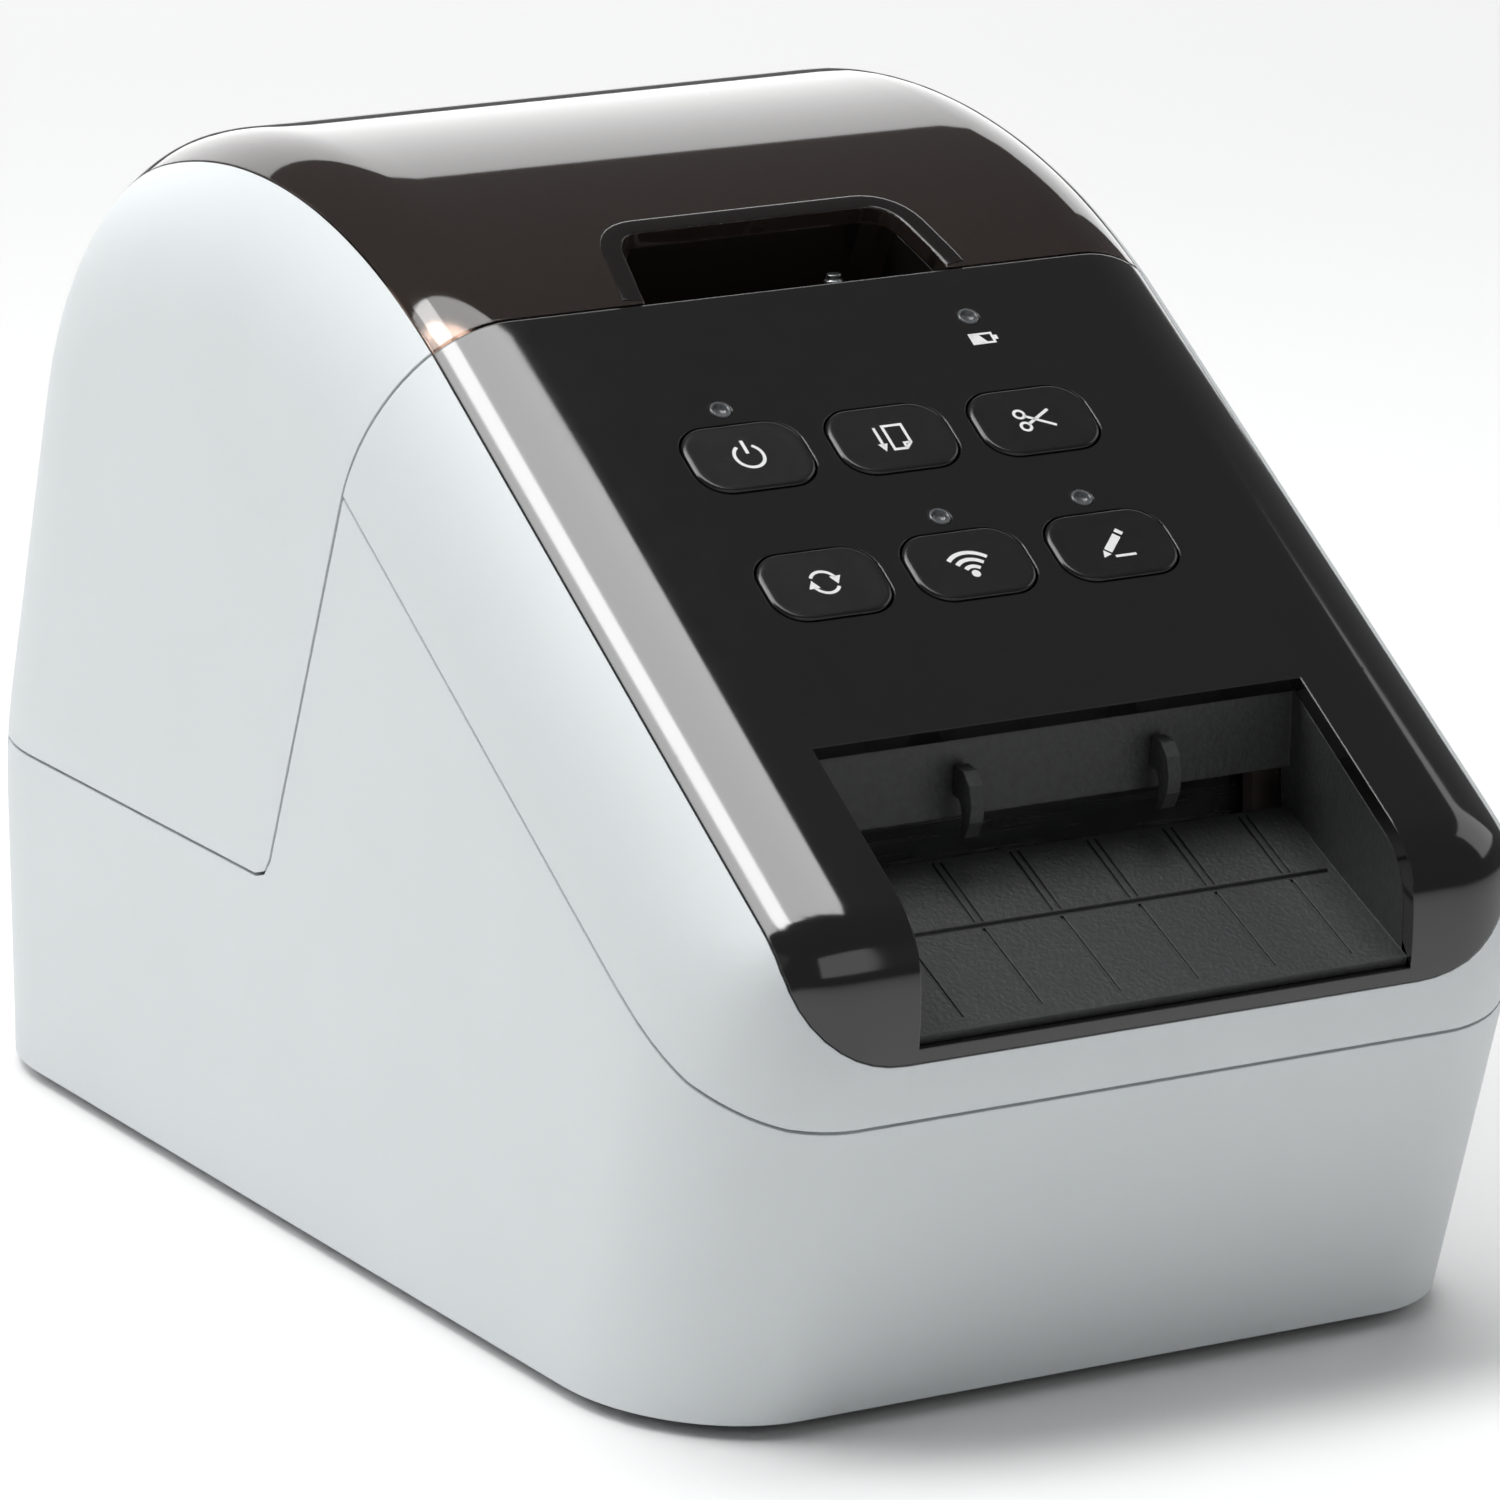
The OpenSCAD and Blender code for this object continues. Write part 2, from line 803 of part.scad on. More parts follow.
module idler_gear() {
  color("#e6e0c8")
    gear_x(-49, -44, idler_c, idler_t, gear_m, turn_idler, 2.5 + run_gap);
}

module idler_stud() {
  color("#b9bcc0")
    union() {
      bar_x(-49.6, -38, idler_c, 2.5);
      bar_x(-51, -49.6, idler_c, 3.6);
    }
}

module feed_motor() {
  color("#6e7276")
    difference() {
      union() {
        bar_x(-39.2, -13, motor_c, 17);
        translate([-39.2, motor_c[0] - 22, motor_c[1] - 4])
          cube([1.4, 44, 8]);
        bar_x(-40.4, -39, motor_c, 5);
      }
      bar_x(-45, -34, motor_c, 1.5 + run_gap);
    }
}

module feed_motor_pinion() {
  color("#c9a95a")
    union() {
      gear_x(-49, -43.5, motor_c, pinion_t, gear_m, turn_motor, 0);
      bar_x(-44, -35, motor_c, 1.5);
    }
}

module print_head() {
  color("#d9d5cc")
    union() {
      translate([-36, -60, 70])
        cube([72, 22, 3.4]);
      along_x(-36, 36)
        polygon([[-54, 73.4], [-50, 73.4], [-51, 74.7], [-53, 74.7]]);
    }
}

module head_heatsink() {
  color("#a9adb0")
    difference() {
      union() {
        translate([-36, -58, 63])
          cube([72, 30, 7]);
        for (i = [0:8])
          translate([-34 + i * 8, -56, 60.2])
            cube([2.5, 20, 3]);
      }
      bar_x(-40, 40, head_c, 2);
    }
}

module head_pivot() {
  color("#c3c6c9")
    bar_x(-42, 42, head_c, 2);
}

module head_spring() {
  color("#c9ccd0")
    along_x(-8, 6)
      polygon([[-19.5, 56], [-19.5, 56.5], [-24, 56.6], [-44, 59.9], [-46, 59.4], [-44, 59.3],
        [-24, 56.05]]);
}

// ---- cutter ----

module fixed_blade() {
  color("#c3c6c9")
    translate([-40.7, -73, 60.5])
      cube([81.4, 2, 13.9]);
}

rack_x0 = 43;
rack_x1 = 47;

module moving_blade() {
  color("#b3b7bb")
    union() {
      translate([-37, blade_y, 77])
        cube([84, 1.3, 11]);
      // leg that carries the rack
      translate([rack_x0, blade_y, 47])
        cube([rack_x1 - rack_x0, 3.6, 41]);
      along_x(rack_x0, rack_x1)
        for (k = [-3:5])
          translate([cutter_c[0] - rack_m * cutter_t / 2, cutter_c[1] + (k + 0.5) * PI * rack_m])
            polygon([[-2.4, -0.95], [-1.2, -0.9], [0, -0.56], [0.85, -0.28], [0.85, 0.28],
              [0, 0.56], [-1.2, 0.9], [-2.4, 0.95]]);
    }
}

module blade_guides() {
  color("#4a4d50")
    for (s = [-1, 1])
      difference() {
        translate([s * 38.6 - 2.1, -77.5, 62])
          cube([4.2, 6.5, 28.4]);
        translate([s < 0 ? -37.4 : 30, blade_y - 0.3, 60])
          cube([20, 1.9, 28.4]);
        translate([-45, -73.1, 60.4])
          cube([90, 10, 14.2]);
      }
}

turn_cutter = 180;
turn_wheel = a_cut;
turn_cut_motor = mesh_turn(turn_wheel, cutter_wheel_t, cutter_pinion_t, a_cut);

module cutter_gear() {
  color("#e6e0c8")
    union() {
      gear_x(43, 47.2, cutter_c, cutter_t, rack_m, turn_cutter, 2.5 + run_gap);
      gear_x(47.2, 50.2, cutter_c, cutter_wheel_t, gear_m, turn_wheel, 2.5 + run_gap);
    }
}

module cutter_stud() {
  color("#b9bcc0")
    union() {
      bar_x(38, 50.8, cutter_c, 2.5);
      bar_x(50.8, 52, cutter_c, 3.6);
    }
}

module cutter_motor() {
  color("#9a9ea2")
    difference() {
      union() {
        bar_x(10, 39.2, cut_motor_c, 9.5);
        bar_x(39, 40.4, cut_motor_c, 3.5);
      }
      bar_x(34, 45, cut_motor_c, 1 + run_gap);
    }
}

module cutter_motor_pinion() {
  color("#c9a95a")
    union() {
      gear_x(46.8, 50.4, cut_motor_c, cutter_pinion_t, gear_m, turn_cut_motor, 0);
      bar_x(35, 47, cut_motor_c, 1);
    }
}

// Metal plate that leads the label from the roll bay to the platen, with a round tie bar.
module label_guide() {
  color("#9b9a92")
    union() {
      translate([-33, -36, 73.6])
        cube([66, 27.5, 0.8]);
      translate([-33, -9.5, 68])
        cube([66, 1, 6]);
      for (s = [-1, 1])
        translate([s * 32 - 1, -19.4, 66])
          cube([2, 1.3, 7.8]);
    }
}

// Dark wall between the roll bay and the mechanism, with the slot that the label is fed through.
cover_top = [-17.4, 119.4];
cover_foot = [-9.9, 76.4];

module inner_cover() {
  color("#221f1e")
    union() {
      along_x(-44, 44)
        polygon([cover_top, cover_top + [1.6, 0], cover_foot + [1.6, 0], cover_foot]);
      for (s = [-1, 1])
        along_x(s * 43 - 1, s * 43 + 1)
          polygon([cover_foot + [1.6, 0.2], cover_foot + [0, 0.2], [-12, 60], [-12, 5], [-8.6, 5], [-8.6, 60]]);
    }
}

// Steel pin that the lid pushes when it closes.
module lid_switch_pin() {
  color("#c3c6c9")
    translate([8.6, cover_top[0] + 0.8, cover_top[1]])
      union() {
        cylinder(h = 9, r = 1.3);
        translate([0, 0, 8.9])
          cylinder(h = 0.9, r = 1.0);
      }
}

// ---- electronics ----

module main_board() {
  color("#1f5a3a")
    difference() {
      union() {
        translate([-56, 0, 10])
          cube([50, 88, 1.6]);
        translate([-36, 87, 10])
          cube([26, 21, 1.6]);
      }
      for (x = [-52, -10])
        for (y = [4, 68])
          translate([x, y, 5])
            cylinder(h = 10, r = 1.6);
    }
}

module main_board_chips() {
  color("#1a1a1c")
    for (p = [[-46, 30, 14, 14], [-28, 30, 12, 18], [-46, 56, 10, 8], [-30, 60, 14, 10], [-50, 12, 16, 6]])
      translate([p[0], p[1], 11.6])
        cube([p[2], p[3], 2.4]);
}

module power_board() {
  color("#3b5a2a")
    difference() {
      union() {
        translate([6, 0, 10])
          cube([48, 88, 1.6]);
        translate([14, 87, 10])
          cube([28, 21, 1.6]);
      }
      for (x = [10, 50])
        for (y = [4, 68])
          translate([x, y, 5])
            cylinder(h = 10, r = 1.6);
    }
}

module transformer() {
  color("#c6a634")
    union() {
      translate([40.5, 30, 11.6])
        cube([12, 26, 20]);
      for (y = [62, 78])
        translate([44.4, y, 11.6])
          cylinder(h = 24, r = 4.5);
    }
}

module power_inlet() {
  color("#17181a")
    difference() {
      translate([17, 98, 11.6])
        cube([23, 18.8, 16]);
      translate([20, 104, 14.6])
        cube([17, 14, 10]);
    }
  color("#b9bcc0")
    for (p = [[25, 18], [32, 18], [28.5, 21.2]])
      translate([p[0] - 0.9, 103.8, p[1] - 0.9])
        cube([1.8, 8, 1.8]);
}

module usb_port() {
  color("#b9bcc0")
    difference() {
      translate([-33, 99, 11.6])
        cube([13, 17.6, 12]);
      translate([-31.2, 104, 13.4])
        cube([9.4, 14, 8.4]);
    }
}

module base_screws() {
  color("#b9bcc0")
    for (p = screw_pos)
      translate([p[0], p[1], 0]) {
        translate([0, 0, foot_height])
          cylinder(h = 1.5, r = 3.1);
        translate([0, 0, foot_height + 1.4])
          cylinder(h = 5, r = 1.28);
      }
}

module frame_screws() {
  color("#b9bcc0")
    for (b = boss_pos)
      on_panel()
        translate([b[0], -b[1], board_z - 1.8]) {
          cylinder(h = 1.8, r = 2.8);
          cylinder(h = 8, r = 1.38);
        }
}

lower_housing();
base_plate();
rubber_feet();
bezel();
control_panel();
key_plate();
output_tray();
guide_fingers();
button_power();
button_feed();
button_cut();
button_pair();
button_wireless();
button_edit();
indicator_lenses();
key_board();
key_switches();
lid_shell();
lid_window();
lid_grip_frame();
lid_hinge_arms();
hinge_pins();
hinge_brackets();
roll_cradle();
spool_supports();
mech_frame();
platen_shaft();
platen_roller();
platen_gear();
platen_bushings();
idler_gear();
idler_stud();
feed_motor();
feed_motor_pinion();
print_head();
head_heatsink();
head_pivot();
head_spring();
fixed_blade();
moving_blade();
blade_guides();
cutter_gear();
cutter_stud();
cutter_motor();
cutter_motor_pinion();
main_board();
main_board_chips();
power_board();
transformer();
power_inlet();
usb_port();
base_screws();
frame_screws();
label_guide();
inner_cover();
lid_switch_pin();
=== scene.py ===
# %% [markdown]
# A desktop label printer. The working model holds every part in its true place, and this lesson dresses it:
# the big moulded shells are rebuilt as smooth skins, the keys get round edges and printed symbols, and every
# other part keeps its shape and gets a finish made of shader nodes.

# %% Load the working model
import json
import math
import bmesh
import bpy
import numpy as np
from mathutils import Matrix, Vector
from mathutils.geometry import delaunay_2d_cdt


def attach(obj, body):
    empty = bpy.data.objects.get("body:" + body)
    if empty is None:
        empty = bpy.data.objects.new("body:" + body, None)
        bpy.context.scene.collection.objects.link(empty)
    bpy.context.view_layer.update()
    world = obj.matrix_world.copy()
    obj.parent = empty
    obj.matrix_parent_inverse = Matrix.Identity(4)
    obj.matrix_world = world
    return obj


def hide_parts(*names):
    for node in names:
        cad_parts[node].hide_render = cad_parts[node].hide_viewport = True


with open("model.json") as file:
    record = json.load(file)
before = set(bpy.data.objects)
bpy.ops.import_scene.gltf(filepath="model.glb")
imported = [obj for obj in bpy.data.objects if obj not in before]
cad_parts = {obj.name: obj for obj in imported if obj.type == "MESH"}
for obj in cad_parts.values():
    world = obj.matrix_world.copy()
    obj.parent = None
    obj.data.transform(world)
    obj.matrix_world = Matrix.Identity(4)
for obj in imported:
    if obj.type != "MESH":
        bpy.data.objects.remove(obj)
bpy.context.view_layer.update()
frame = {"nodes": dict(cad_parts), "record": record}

# %% [markdown]
# The body is one convex form. Seen from the side it is a chain of arcs and straight lines, and across its
# width the same outline shrinks inward over an elliptical shoulder. A drawing office would call it an offset
# family. Working with the outline's tangent lines makes the shrinking exact: each line just moves inward.

# %% The side outline as tangent lines
MM = 0.001
HALF_W, FLAT, DROP = 62.5, 43.0, 26.0
SLOPE, LEAN, TAIL_LEAN = 32.7, 20.0, 18.6
WALL, GAP = 2.4, 0.24
SKIN = 0.03  # how far the dressed skin stays inside the working outline
CROWN_R, TAIL_R, NOSE_R, CHIN_R = 107, 54.4, 12, 56


def direction(angle):
    """Unit vector in the side view, as (y, z)."""
    return np.array([math.cos(math.radians(angle)), math.sin(math.radians(angle))])


crown_c = np.array([33.0, 38.0])
tail_c = crown_c + (CROWN_R - TAIL_R) * direction(75)
panel_top = crown_c + CROWN_R * direction(90 + SLOPE)
tan_slope = math.tan(math.radians(SLOPE))
nose_z = panel_top[1] + (-117 - panel_top[0]) * tan_slope - NOSE_R * math.tan(math.radians((90 - SLOPE) / 2))
nose_c, chin_c = np.array([-105.0, nose_z]), np.array([-61.0, nose_z])
tail_end = tail_c + TAIL_R * direction(TAIL_LEAN)
tan_tail = math.tan(math.radians(TAIL_LEAN))
heel_c = np.array([97.0, tail_end[1] - (117 - tail_end[0]) / tan_tail
                   - 20 * math.tan(math.radians(TAIL_LEAN / 2))])
arcs = [(heel_c, 20, 0, TAIL_LEAN), (tail_c, TAIL_R, TAIL_LEAN, 75), (crown_c, CROWN_R, 75, 90 + SLOPE),
        (nose_c, NOSE_R, 90 + SLOPE, 180), (chin_c, CHIN_R, 180, 180 + LEAN)]
normals, heights = [direction(270)], [40.0]
for centre, radius, first, last in arcs:
    for angle in np.linspace(first, last, max(3, int((last - first) / 0.5))):
        normals.append(direction(angle))
        heights.append(centre @ direction(angle) + radius - SKIN)
normals, heights = np.array(normals), np.array(heights)
print("tangent lines:", len(heights), "nose height:", round(nose_z, 2))

# %% [markdown]
# Rays from a point inside meet the nearest tangent line, which gives one ring of the skin. Where the shoulder
# is deep the round nose would shrink to a sharp crease, so those rings are smoothed a little, as a mould
# maker would with a blend radius.

# %% Rings and the whole skin
HEART = np.array([8.0, 48.0])
ray_angles = np.linspace(0, 360, 720, endpoint=False)
rays = np.array([direction(a) for a in ray_angles])
facing = rays @ normals.T


def ring(drop):
    """Outline of the body where its shoulder has dropped this far, one point for each ray."""
    reach = (heights - drop - normals @ HEART) / np.where(facing > 1e-4, facing, np.nan)
    reach = np.nanmin(np.where(facing > 1e-4, reach, np.nan), axis=1)
    width = 7.0 * min(1.0, max(0.0, (drop - 2) / 14))
    if width > 0.3:
        k = np.arange(-24, 25)
        w = np.exp(-0.5 * (k / width) ** 2)
        reach = sum(np.roll(reach, i) * wi for i, wi in zip(k, w)) / w.sum()
    return HEART + rays * reach[:, None]


turns = [90 - 90 * i / 18 for i in range(19)]
half_rows = [(x, 0) for x in (0, 11, 22.5, 30, 35.8, 39.5)] + [
    (FLAT + (HALF_W - FLAT) * math.cos(math.radians(t)), DROP * (1 - math.sin(math.radians(t))))
    for t in turns]
rows = [(-x, d) for x, d in reversed(half_rows[1:])] + half_rows


def skin():
    """The closed outer form in millimetres."""
    bm = bmesh.new()
    loops = [[bm.verts.new((x, y, z)) for y, z in ring(d)] for x, d in rows]
    for a, b in zip(loops, loops[1:]):
        for i in range(len(a)):
            j = (i + 1) % len(a)
            bm.faces.new((a[i], b[i], b[j], a[j]))
    bm.faces.new(loops[0])
    bm.faces.new(list(reversed(loops[-1])))
    bmesh.ops.recalc_face_normals(bm, faces=bm.faces)
    return bm


whole = skin()
print("skin faces:", len(whole.faces))

# %% [markdown]
# Parting lines are cut the way a fitter scribes them: a flat outline is pushed right through the form, each
# of its edges slices the faces near it, and whatever lies outside is thrown away. Cutting only near the line
# leaves the rest of the glossy surfaces undisturbed.

# %% Cutting with a flat outline
def within(outline, p):
    """True where the point is inside the closed outline."""
    odd = False
    for (ax, ay), (bx, by) in zip(outline, outline[1:] + outline[:1]):
        if (ay > p[1]) != (by > p[1]) and p[0] < ax + (p[1] - ay) / (by - ay) * (bx - ax):
            odd = not odd
    return odd


def cut(bm, outline, across, up, origin=(0, 0, 0), keep=True, margin=13, where=None):
    """Slices bm along an outline drawn in the plane of across and up, then keeps its inside or outside."""
    across, up, origin = Vector(across), Vector(up), Vector(origin)
    outline = [tuple(p) for p in outline]
    flat = lambda co: ((co - origin) @ across, (co - origin) @ up)
    for a, b in zip(outline, outline[1:] + outline[:1]):
        edge = Vector((b[0] - a[0], b[1] - a[1]))
        if edge.length < 1e-6:
            continue
        lo = [min(a[i], b[i]) - margin for i in (0, 1)]
        hi = [max(a[i], b[i]) + margin for i in (0, 1)]
        near = set()
        for v in bm.verts:
            p = flat(v.co)
            if lo[0] < p[0] < hi[0] and lo[1] < p[1] < hi[1] and (where is None or where(v.co)):
                near.update(v.link_faces)
        near.update(f for f in bm.faces if len(f.verts) > 8)
        if not near:
            continue
        geom = set(near)
        for f in near:
            geom.update(f.edges)
            geom.update(f.verts)
        bmesh.ops.bisect_plane(bm, geom=list(geom), dist=1e-4, plane_co=origin + across * a[0] + up * a[1],
                               plane_no=(across * edge.y - up * edge.x).normalized())
    lost = [f for f in bm.faces if (where is None or where(f.calc_center_median()))
            and within(outline, flat(f.calc_center_median())) != keep]
    bmesh.ops.delete(bm, geom=lost, context="FACES")
    return bm


SIDE = dict(across=(0, 1, 0), up=(0, 0, 1))
FRONT = dict(across=(1, 0, 0), up=(0, 0, 1))
print("cutting planes ready")

# %% [markdown]
# Three regions divide the skin in side view: the lower housing, the front bezel and the lid. The lid's rear
# edge is round about the hinge pin, so that it can roll inside the housing as it opens.

# %% The three regions
LID_EDGE, HINGE, KNUCKLE = 48.7, (109.5, 54.0), 9.3
CORNER = (-12.6, 106.4)  # where the lid, the bezel and the housing meet
LID_LINE = (-0.3946, 0.9189)  # the way the lid leaves that corner
seam_z = 24.7 / math.cos(math.radians(SLOPE))
front_z = float((chin_c + CHIN_R * direction(180 + LEAN))[1])
bend = panel_top[0] + (front_z + seam_z - panel_top[1]) / tan_slope


def side_seam(y):
    """Height of the sloping parting line."""
    return panel_top[1] + (y - panel_top[0]) * tan_slope - seam_z


def knuckle(radius, floor, steps):
    """Points of the round rear edge below a given height, from the back forward."""
    dip = math.asin((HINGE[1] - floor) / radius)
    turn = [-dip - k * (math.pi - 2 * dip) / steps for k in range(steps + 1)]
    return [(HINGE[0] + radius * math.cos(a), HINGE[1] + radius * math.sin(a)) for a in turn]


g = GAP
above = (CORNER[0] + 60 * LID_LINE[0], CORNER[1] + 60 * LID_LINE[1])
lid_region = [(150, LID_EDGE + g)] + knuckle(KNUCKLE, LID_EDGE + g, 20) + [
    (16.5, LID_EDGE + g), (13.6, LID_EDGE + 0.9 + g), (11.8 + g, LID_EDGE + 2.8 + g),
    (CORNER[0] + 1.1 * g, CORNER[1]), (above[0] + 1.1 * g, above[1]), (0, 220), (150, 220)]
bezel_region = [(-150, front_z + g), (bend - 6, front_z + g), (bend, front_z + 1.6 + g),
                (bend + 10, side_seam(bend + 10) + 1.2 * g), (CORNER[0] - 1.1 * g, CORNER[1] + 0.5 * g),
                (above[0] - 1.1 * g, above[1]), (-150, 200)]
low_region = [(-150, 2), (150, 2), (150, LID_EDGE - g)] + knuckle(KNUCKLE + 0.4, LID_EDGE - g, 20) + [
    (16.5, LID_EDGE - g), (13.6, LID_EDGE + 0.9 - g), (11.8 - g, LID_EDGE + 2.8),
    (CORNER[0] - g * 1.1, CORNER[1] - g * 1.8), (bend + 10, side_seam(bend + 10) - 1.2 * g),
    (bend, front_z + 1.6 - g), (bend - 6, front_z - g), (-150, front_z - g)]
print("side seam ends at z", round(front_z, 1), "bend at y", round(bend, 1))

# %% [markdown]
# A cut skin has no thickness. The shell step gives it the wall of a real moulding, turns millimetres into
# metres and marks every edge sharper than a stated angle, so that broad curves shade smoothly while rims
# stay crisp.

# %% From skin to shell
def finish_piece(name, bm, body, nodes, wall=WALL, sharp=32):
    """Thickens the skin inward if asked, and makes it a piece that rides on a body in place of CAD nodes."""
    if wall:
        width = max(v.co.x for v in bm.verts)
        bmesh.ops.solidify(bm, geom=bm.faces[:], thickness=wall)
        if max(v.co.x for v in bm.verts) > width + 0.1:
            print("note: the wall of", name, "grew outward")
    bmesh.ops.scale(bm, vec=(MM, MM, MM), verts=bm.verts)
    mesh = bpy.data.meshes.new(name)
    bm.to_mesh(mesh)
    bm.free()
    mesh.shade_smooth()
    mesh.set_sharp_from_angle(angle=math.radians(sharp))
    piece = bpy.data.objects.new(name, mesh)
    bpy.context.scene.collection.objects.link(piece)
    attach(piece, body)
    if nodes:
        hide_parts(*nodes)
    print(name, "faces:", len(mesh.polygons))
    return piece


def loft(bm, loops):
    """Joins closed loops of points, one after the other, and closes both ends."""
    for a, b in zip(loops, loops[1:]):
        for i in range(len(a)):
            j = (i + 1) % len(a)
            bm.faces.new((a[i], a[j], b[j], b[i]))
    bm.faces.new(loops[-1])
    bm.faces.new(list(reversed(loops[0])))


# %% [markdown]
# The lower housing is an open-bottomed tub: it stands 2 mm off the table on its feet. The rear wall has the
# mains inlet, the data port and five cooling slots.

# %% Lower housing
def rectangle(x0, z0, x1, z1):
    """Corners of an upright rectangle, counter-clockwise."""
    return [(x0, z0), (x1, z0), (x1, z1), (x0, z1)]


bm = cut(whole.copy(), low_region, **SIDE)
rear = lambda co: co.y > 112
openings = [rectangle(16.7, 11.3, 40.3, 27.9), rectangle(-33.3, 11.3, -19.7, 23.9)]
openings += [rectangle(-13 + i * 6, 13, -10.6 + i * 6, 31) for i in range(5)]
for hole in openings:
    cut(bm, hole, keep=False, where=rear, margin=16, **FRONT)
housing = finish_piece("housing_shell", bm, "base", ["lower_housing"])

# %% [markdown]
# The bezel and the black panel share one surface. The panel's border is a rounded rectangle seen from the
# front, so the same outline cuts both, once kept inside and once outside.

# %% White bezel
BLACK, BLACK_LOW, BLACK_R = 53.3, 52, 16  # half width, lower edge and corner radius of the panel


def black_outline(g):
    """Front view of the black panel with its two round lower corners."""
    r, centre_z = BLACK_R, BLACK_LOW + BLACK_R
    pts = [(-BLACK + g, 230), (-BLACK + g, centre_z)]
    pts += [(-BLACK + r + (r - g) * math.cos(t), centre_z + (r - g) * math.sin(t))
            for t in np.radians(np.arange(189, 262, 9))]
    pts += [(-BLACK + r, BLACK_LOW + g), (BLACK - r, BLACK_LOW + g)]
    pts += [(BLACK - r + (r - g) * math.cos(t), centre_z + (r - g) * math.sin(t))
            for t in np.radians(np.arange(279, 352, 9))]
    return pts + [(BLACK - g, centre_z), (BLACK - g, 230)]


bm = cut(whole.copy(), bezel_region, **SIDE)
cut(bm, black_outline(0), keep=False, **FRONT)
bezel = finish_piece("bezel_shell", bm, "base", ["bezel"])

# %% [markdown]
# The panel is one black moulding to the eye. The tray recess is cut from it, and a flat field with rounded
# key holes is laid into the slope as a triangulated plate whose border reuses the skin's own points, so no
# hairline shows.

# %% Panel frame and key layout
ps = math.radians(SLOPE)
P_ACROSS, P_UP = Vector((1, 0, 0)), Vector((0, math.cos(ps), math.sin(ps)))
P_OUT = Vector((0, -math.sin(ps), math.cos(ps)))
TOP_Y = -22.9  # the panel coordinates start at the lid seam
P_ZERO = Vector((0, TOP_Y, panel_top[1] + (TOP_Y - panel_top[0]) * tan_slope))
KEYS = {"power": (-1, 0), "feed": (0, 0), "cut": (1, 0), "pair": (-1, 1), "wireless": (0, 1), "edit": (1, 1)}
KEY_W, KEY_L, KEY_R = 17.4, 11.8, 4.4
PITCH_X, PITCH_S = 21.25, 23.5
key_at = {k: (c * PITCH_X, -29 - r * PITCH_S) for k, (c, r) in KEYS.items()}
lamps = [(-PITCH_X, -20.1), (PITCH_X, -8.8), (0, -43.6), (PITCH_X, -43.6)]


def on_panel(x, s, out=0.0):
    """A point of the sloping panel: x across, s up the slope, out proud of it."""
    return P_ZERO + P_ACROSS * x + P_UP * s + P_OUT * out


def round_rect(w, h, r, cx=0, cy=0, per=8):
    """Rounded rectangle, counter-clockwise."""
    pts = []
    for i, (sx, sy) in enumerate(((1, 1), (-1, 1), (-1, -1), (1, -1))):
        for k in range(per + 1):
            t = math.pi / 2 * (i + k / per)
            pts.append((cx + sx * (w / 2 - r) + r * math.cos(t), cy + sy * (h / 2 - r) + r * math.sin(t)))
    return pts


# %% [markdown]
# The field's triangles come from a constrained triangulation. It keeps every hole's outline as an edge, so
# the key and lamp openings have clean rims. Triangles that fall inside an opening are left out.

# %% Black panel
RECESS, RECESS_LOW, RECESS_TOP = 35.8, 54.1, 86.3
FIELD, FIELD_LOW, FIELD_TOP = 41, -75, -3.5
LAMP_HOLE = 1.55
bm = cut(whole.copy(), bezel_region, **SIDE)
cut(bm, black_outline(0.2), **FRONT)
field = rectangle(-FIELD, FIELD_LOW, FIELD, FIELD_TOP)
cut(bm, field, P_ACROSS, P_UP, P_ZERO, keep=False, margin=14,
    where=lambda co: (co - P_ZERO) @ P_OUT > -4 and co.z > 60)
cut(bm, rectangle(-RECESS, RECESS_LOW, RECESS, RECESS_TOP), keep=False, **FRONT)
rim = [v for v in bm.verts if v.is_boundary]
edge_points = {}
for v in rim:
    x, s = (v.co - P_ZERO) @ P_ACROSS, (v.co - P_ZERO) @ P_UP
    on_field = FIELD_LOW - 0.05 < s < FIELD_TOP + 0.05 and abs(x) < FIELD + 0.05
    if abs((v.co - P_ZERO) @ P_OUT) < 0.2 and on_field:
        edge_points[(round(x, 4), round(s, 4))] = v
points, owners = list(edge_points), list(edge_points.values())
lines = []
holes = [round_rect(KEY_W + 0.6, KEY_L + 0.6, KEY_R + 0.3, *key_at[k]) for k in KEYS]
holes += [[(x + LAMP_HOLE * math.cos(t), s + LAMP_HOLE * math.sin(t))
           for t in np.linspace(0, 2 * math.pi, 24, False)] for x, s in lamps]
for hole in holes:
    first = len(points)
    points += hole
    lines += [(first + i, first + (i + 1) % len(hole)) for i in range(len(hole))]
flat_points, _, triangles, sources = delaunay_2d_cdt([Vector(p) for p in points], lines, [], 0, 1e-5)[:4]
made = []
for co, source in zip(flat_points, sources):
    own = [i for i in source if i < len(owners)]
    made.append(owners[own[0]] if own else bm.verts.new(on_panel(co.x, co.y, -SKIN)))
for tri in triangles:
    c = sum((flat_points[i] for i in tri), Vector((0, 0))) / len(tri)
    if not any(within(h, c) for h in holes):
        try:
            bm.faces.new([made[i] for i in tri])
        except ValueError:  # the skin already has this face
            pass
bmesh.ops.recalc_face_normals(bm, faces=bm.faces)
if sum(f.normal.z * f.calc_area() for f in bm.faces) < 0:
    bmesh.ops.reverse_faces(bm, faces=bm.faces)
panel = finish_piece("black_panel", bm, "base", ["control_panel", "key_plate"])

# %% [markdown]
# The lid is a white rear frame with two side bands, and a smoky window that takes in the whole crown. The
# window has a finger notch at its front edge.

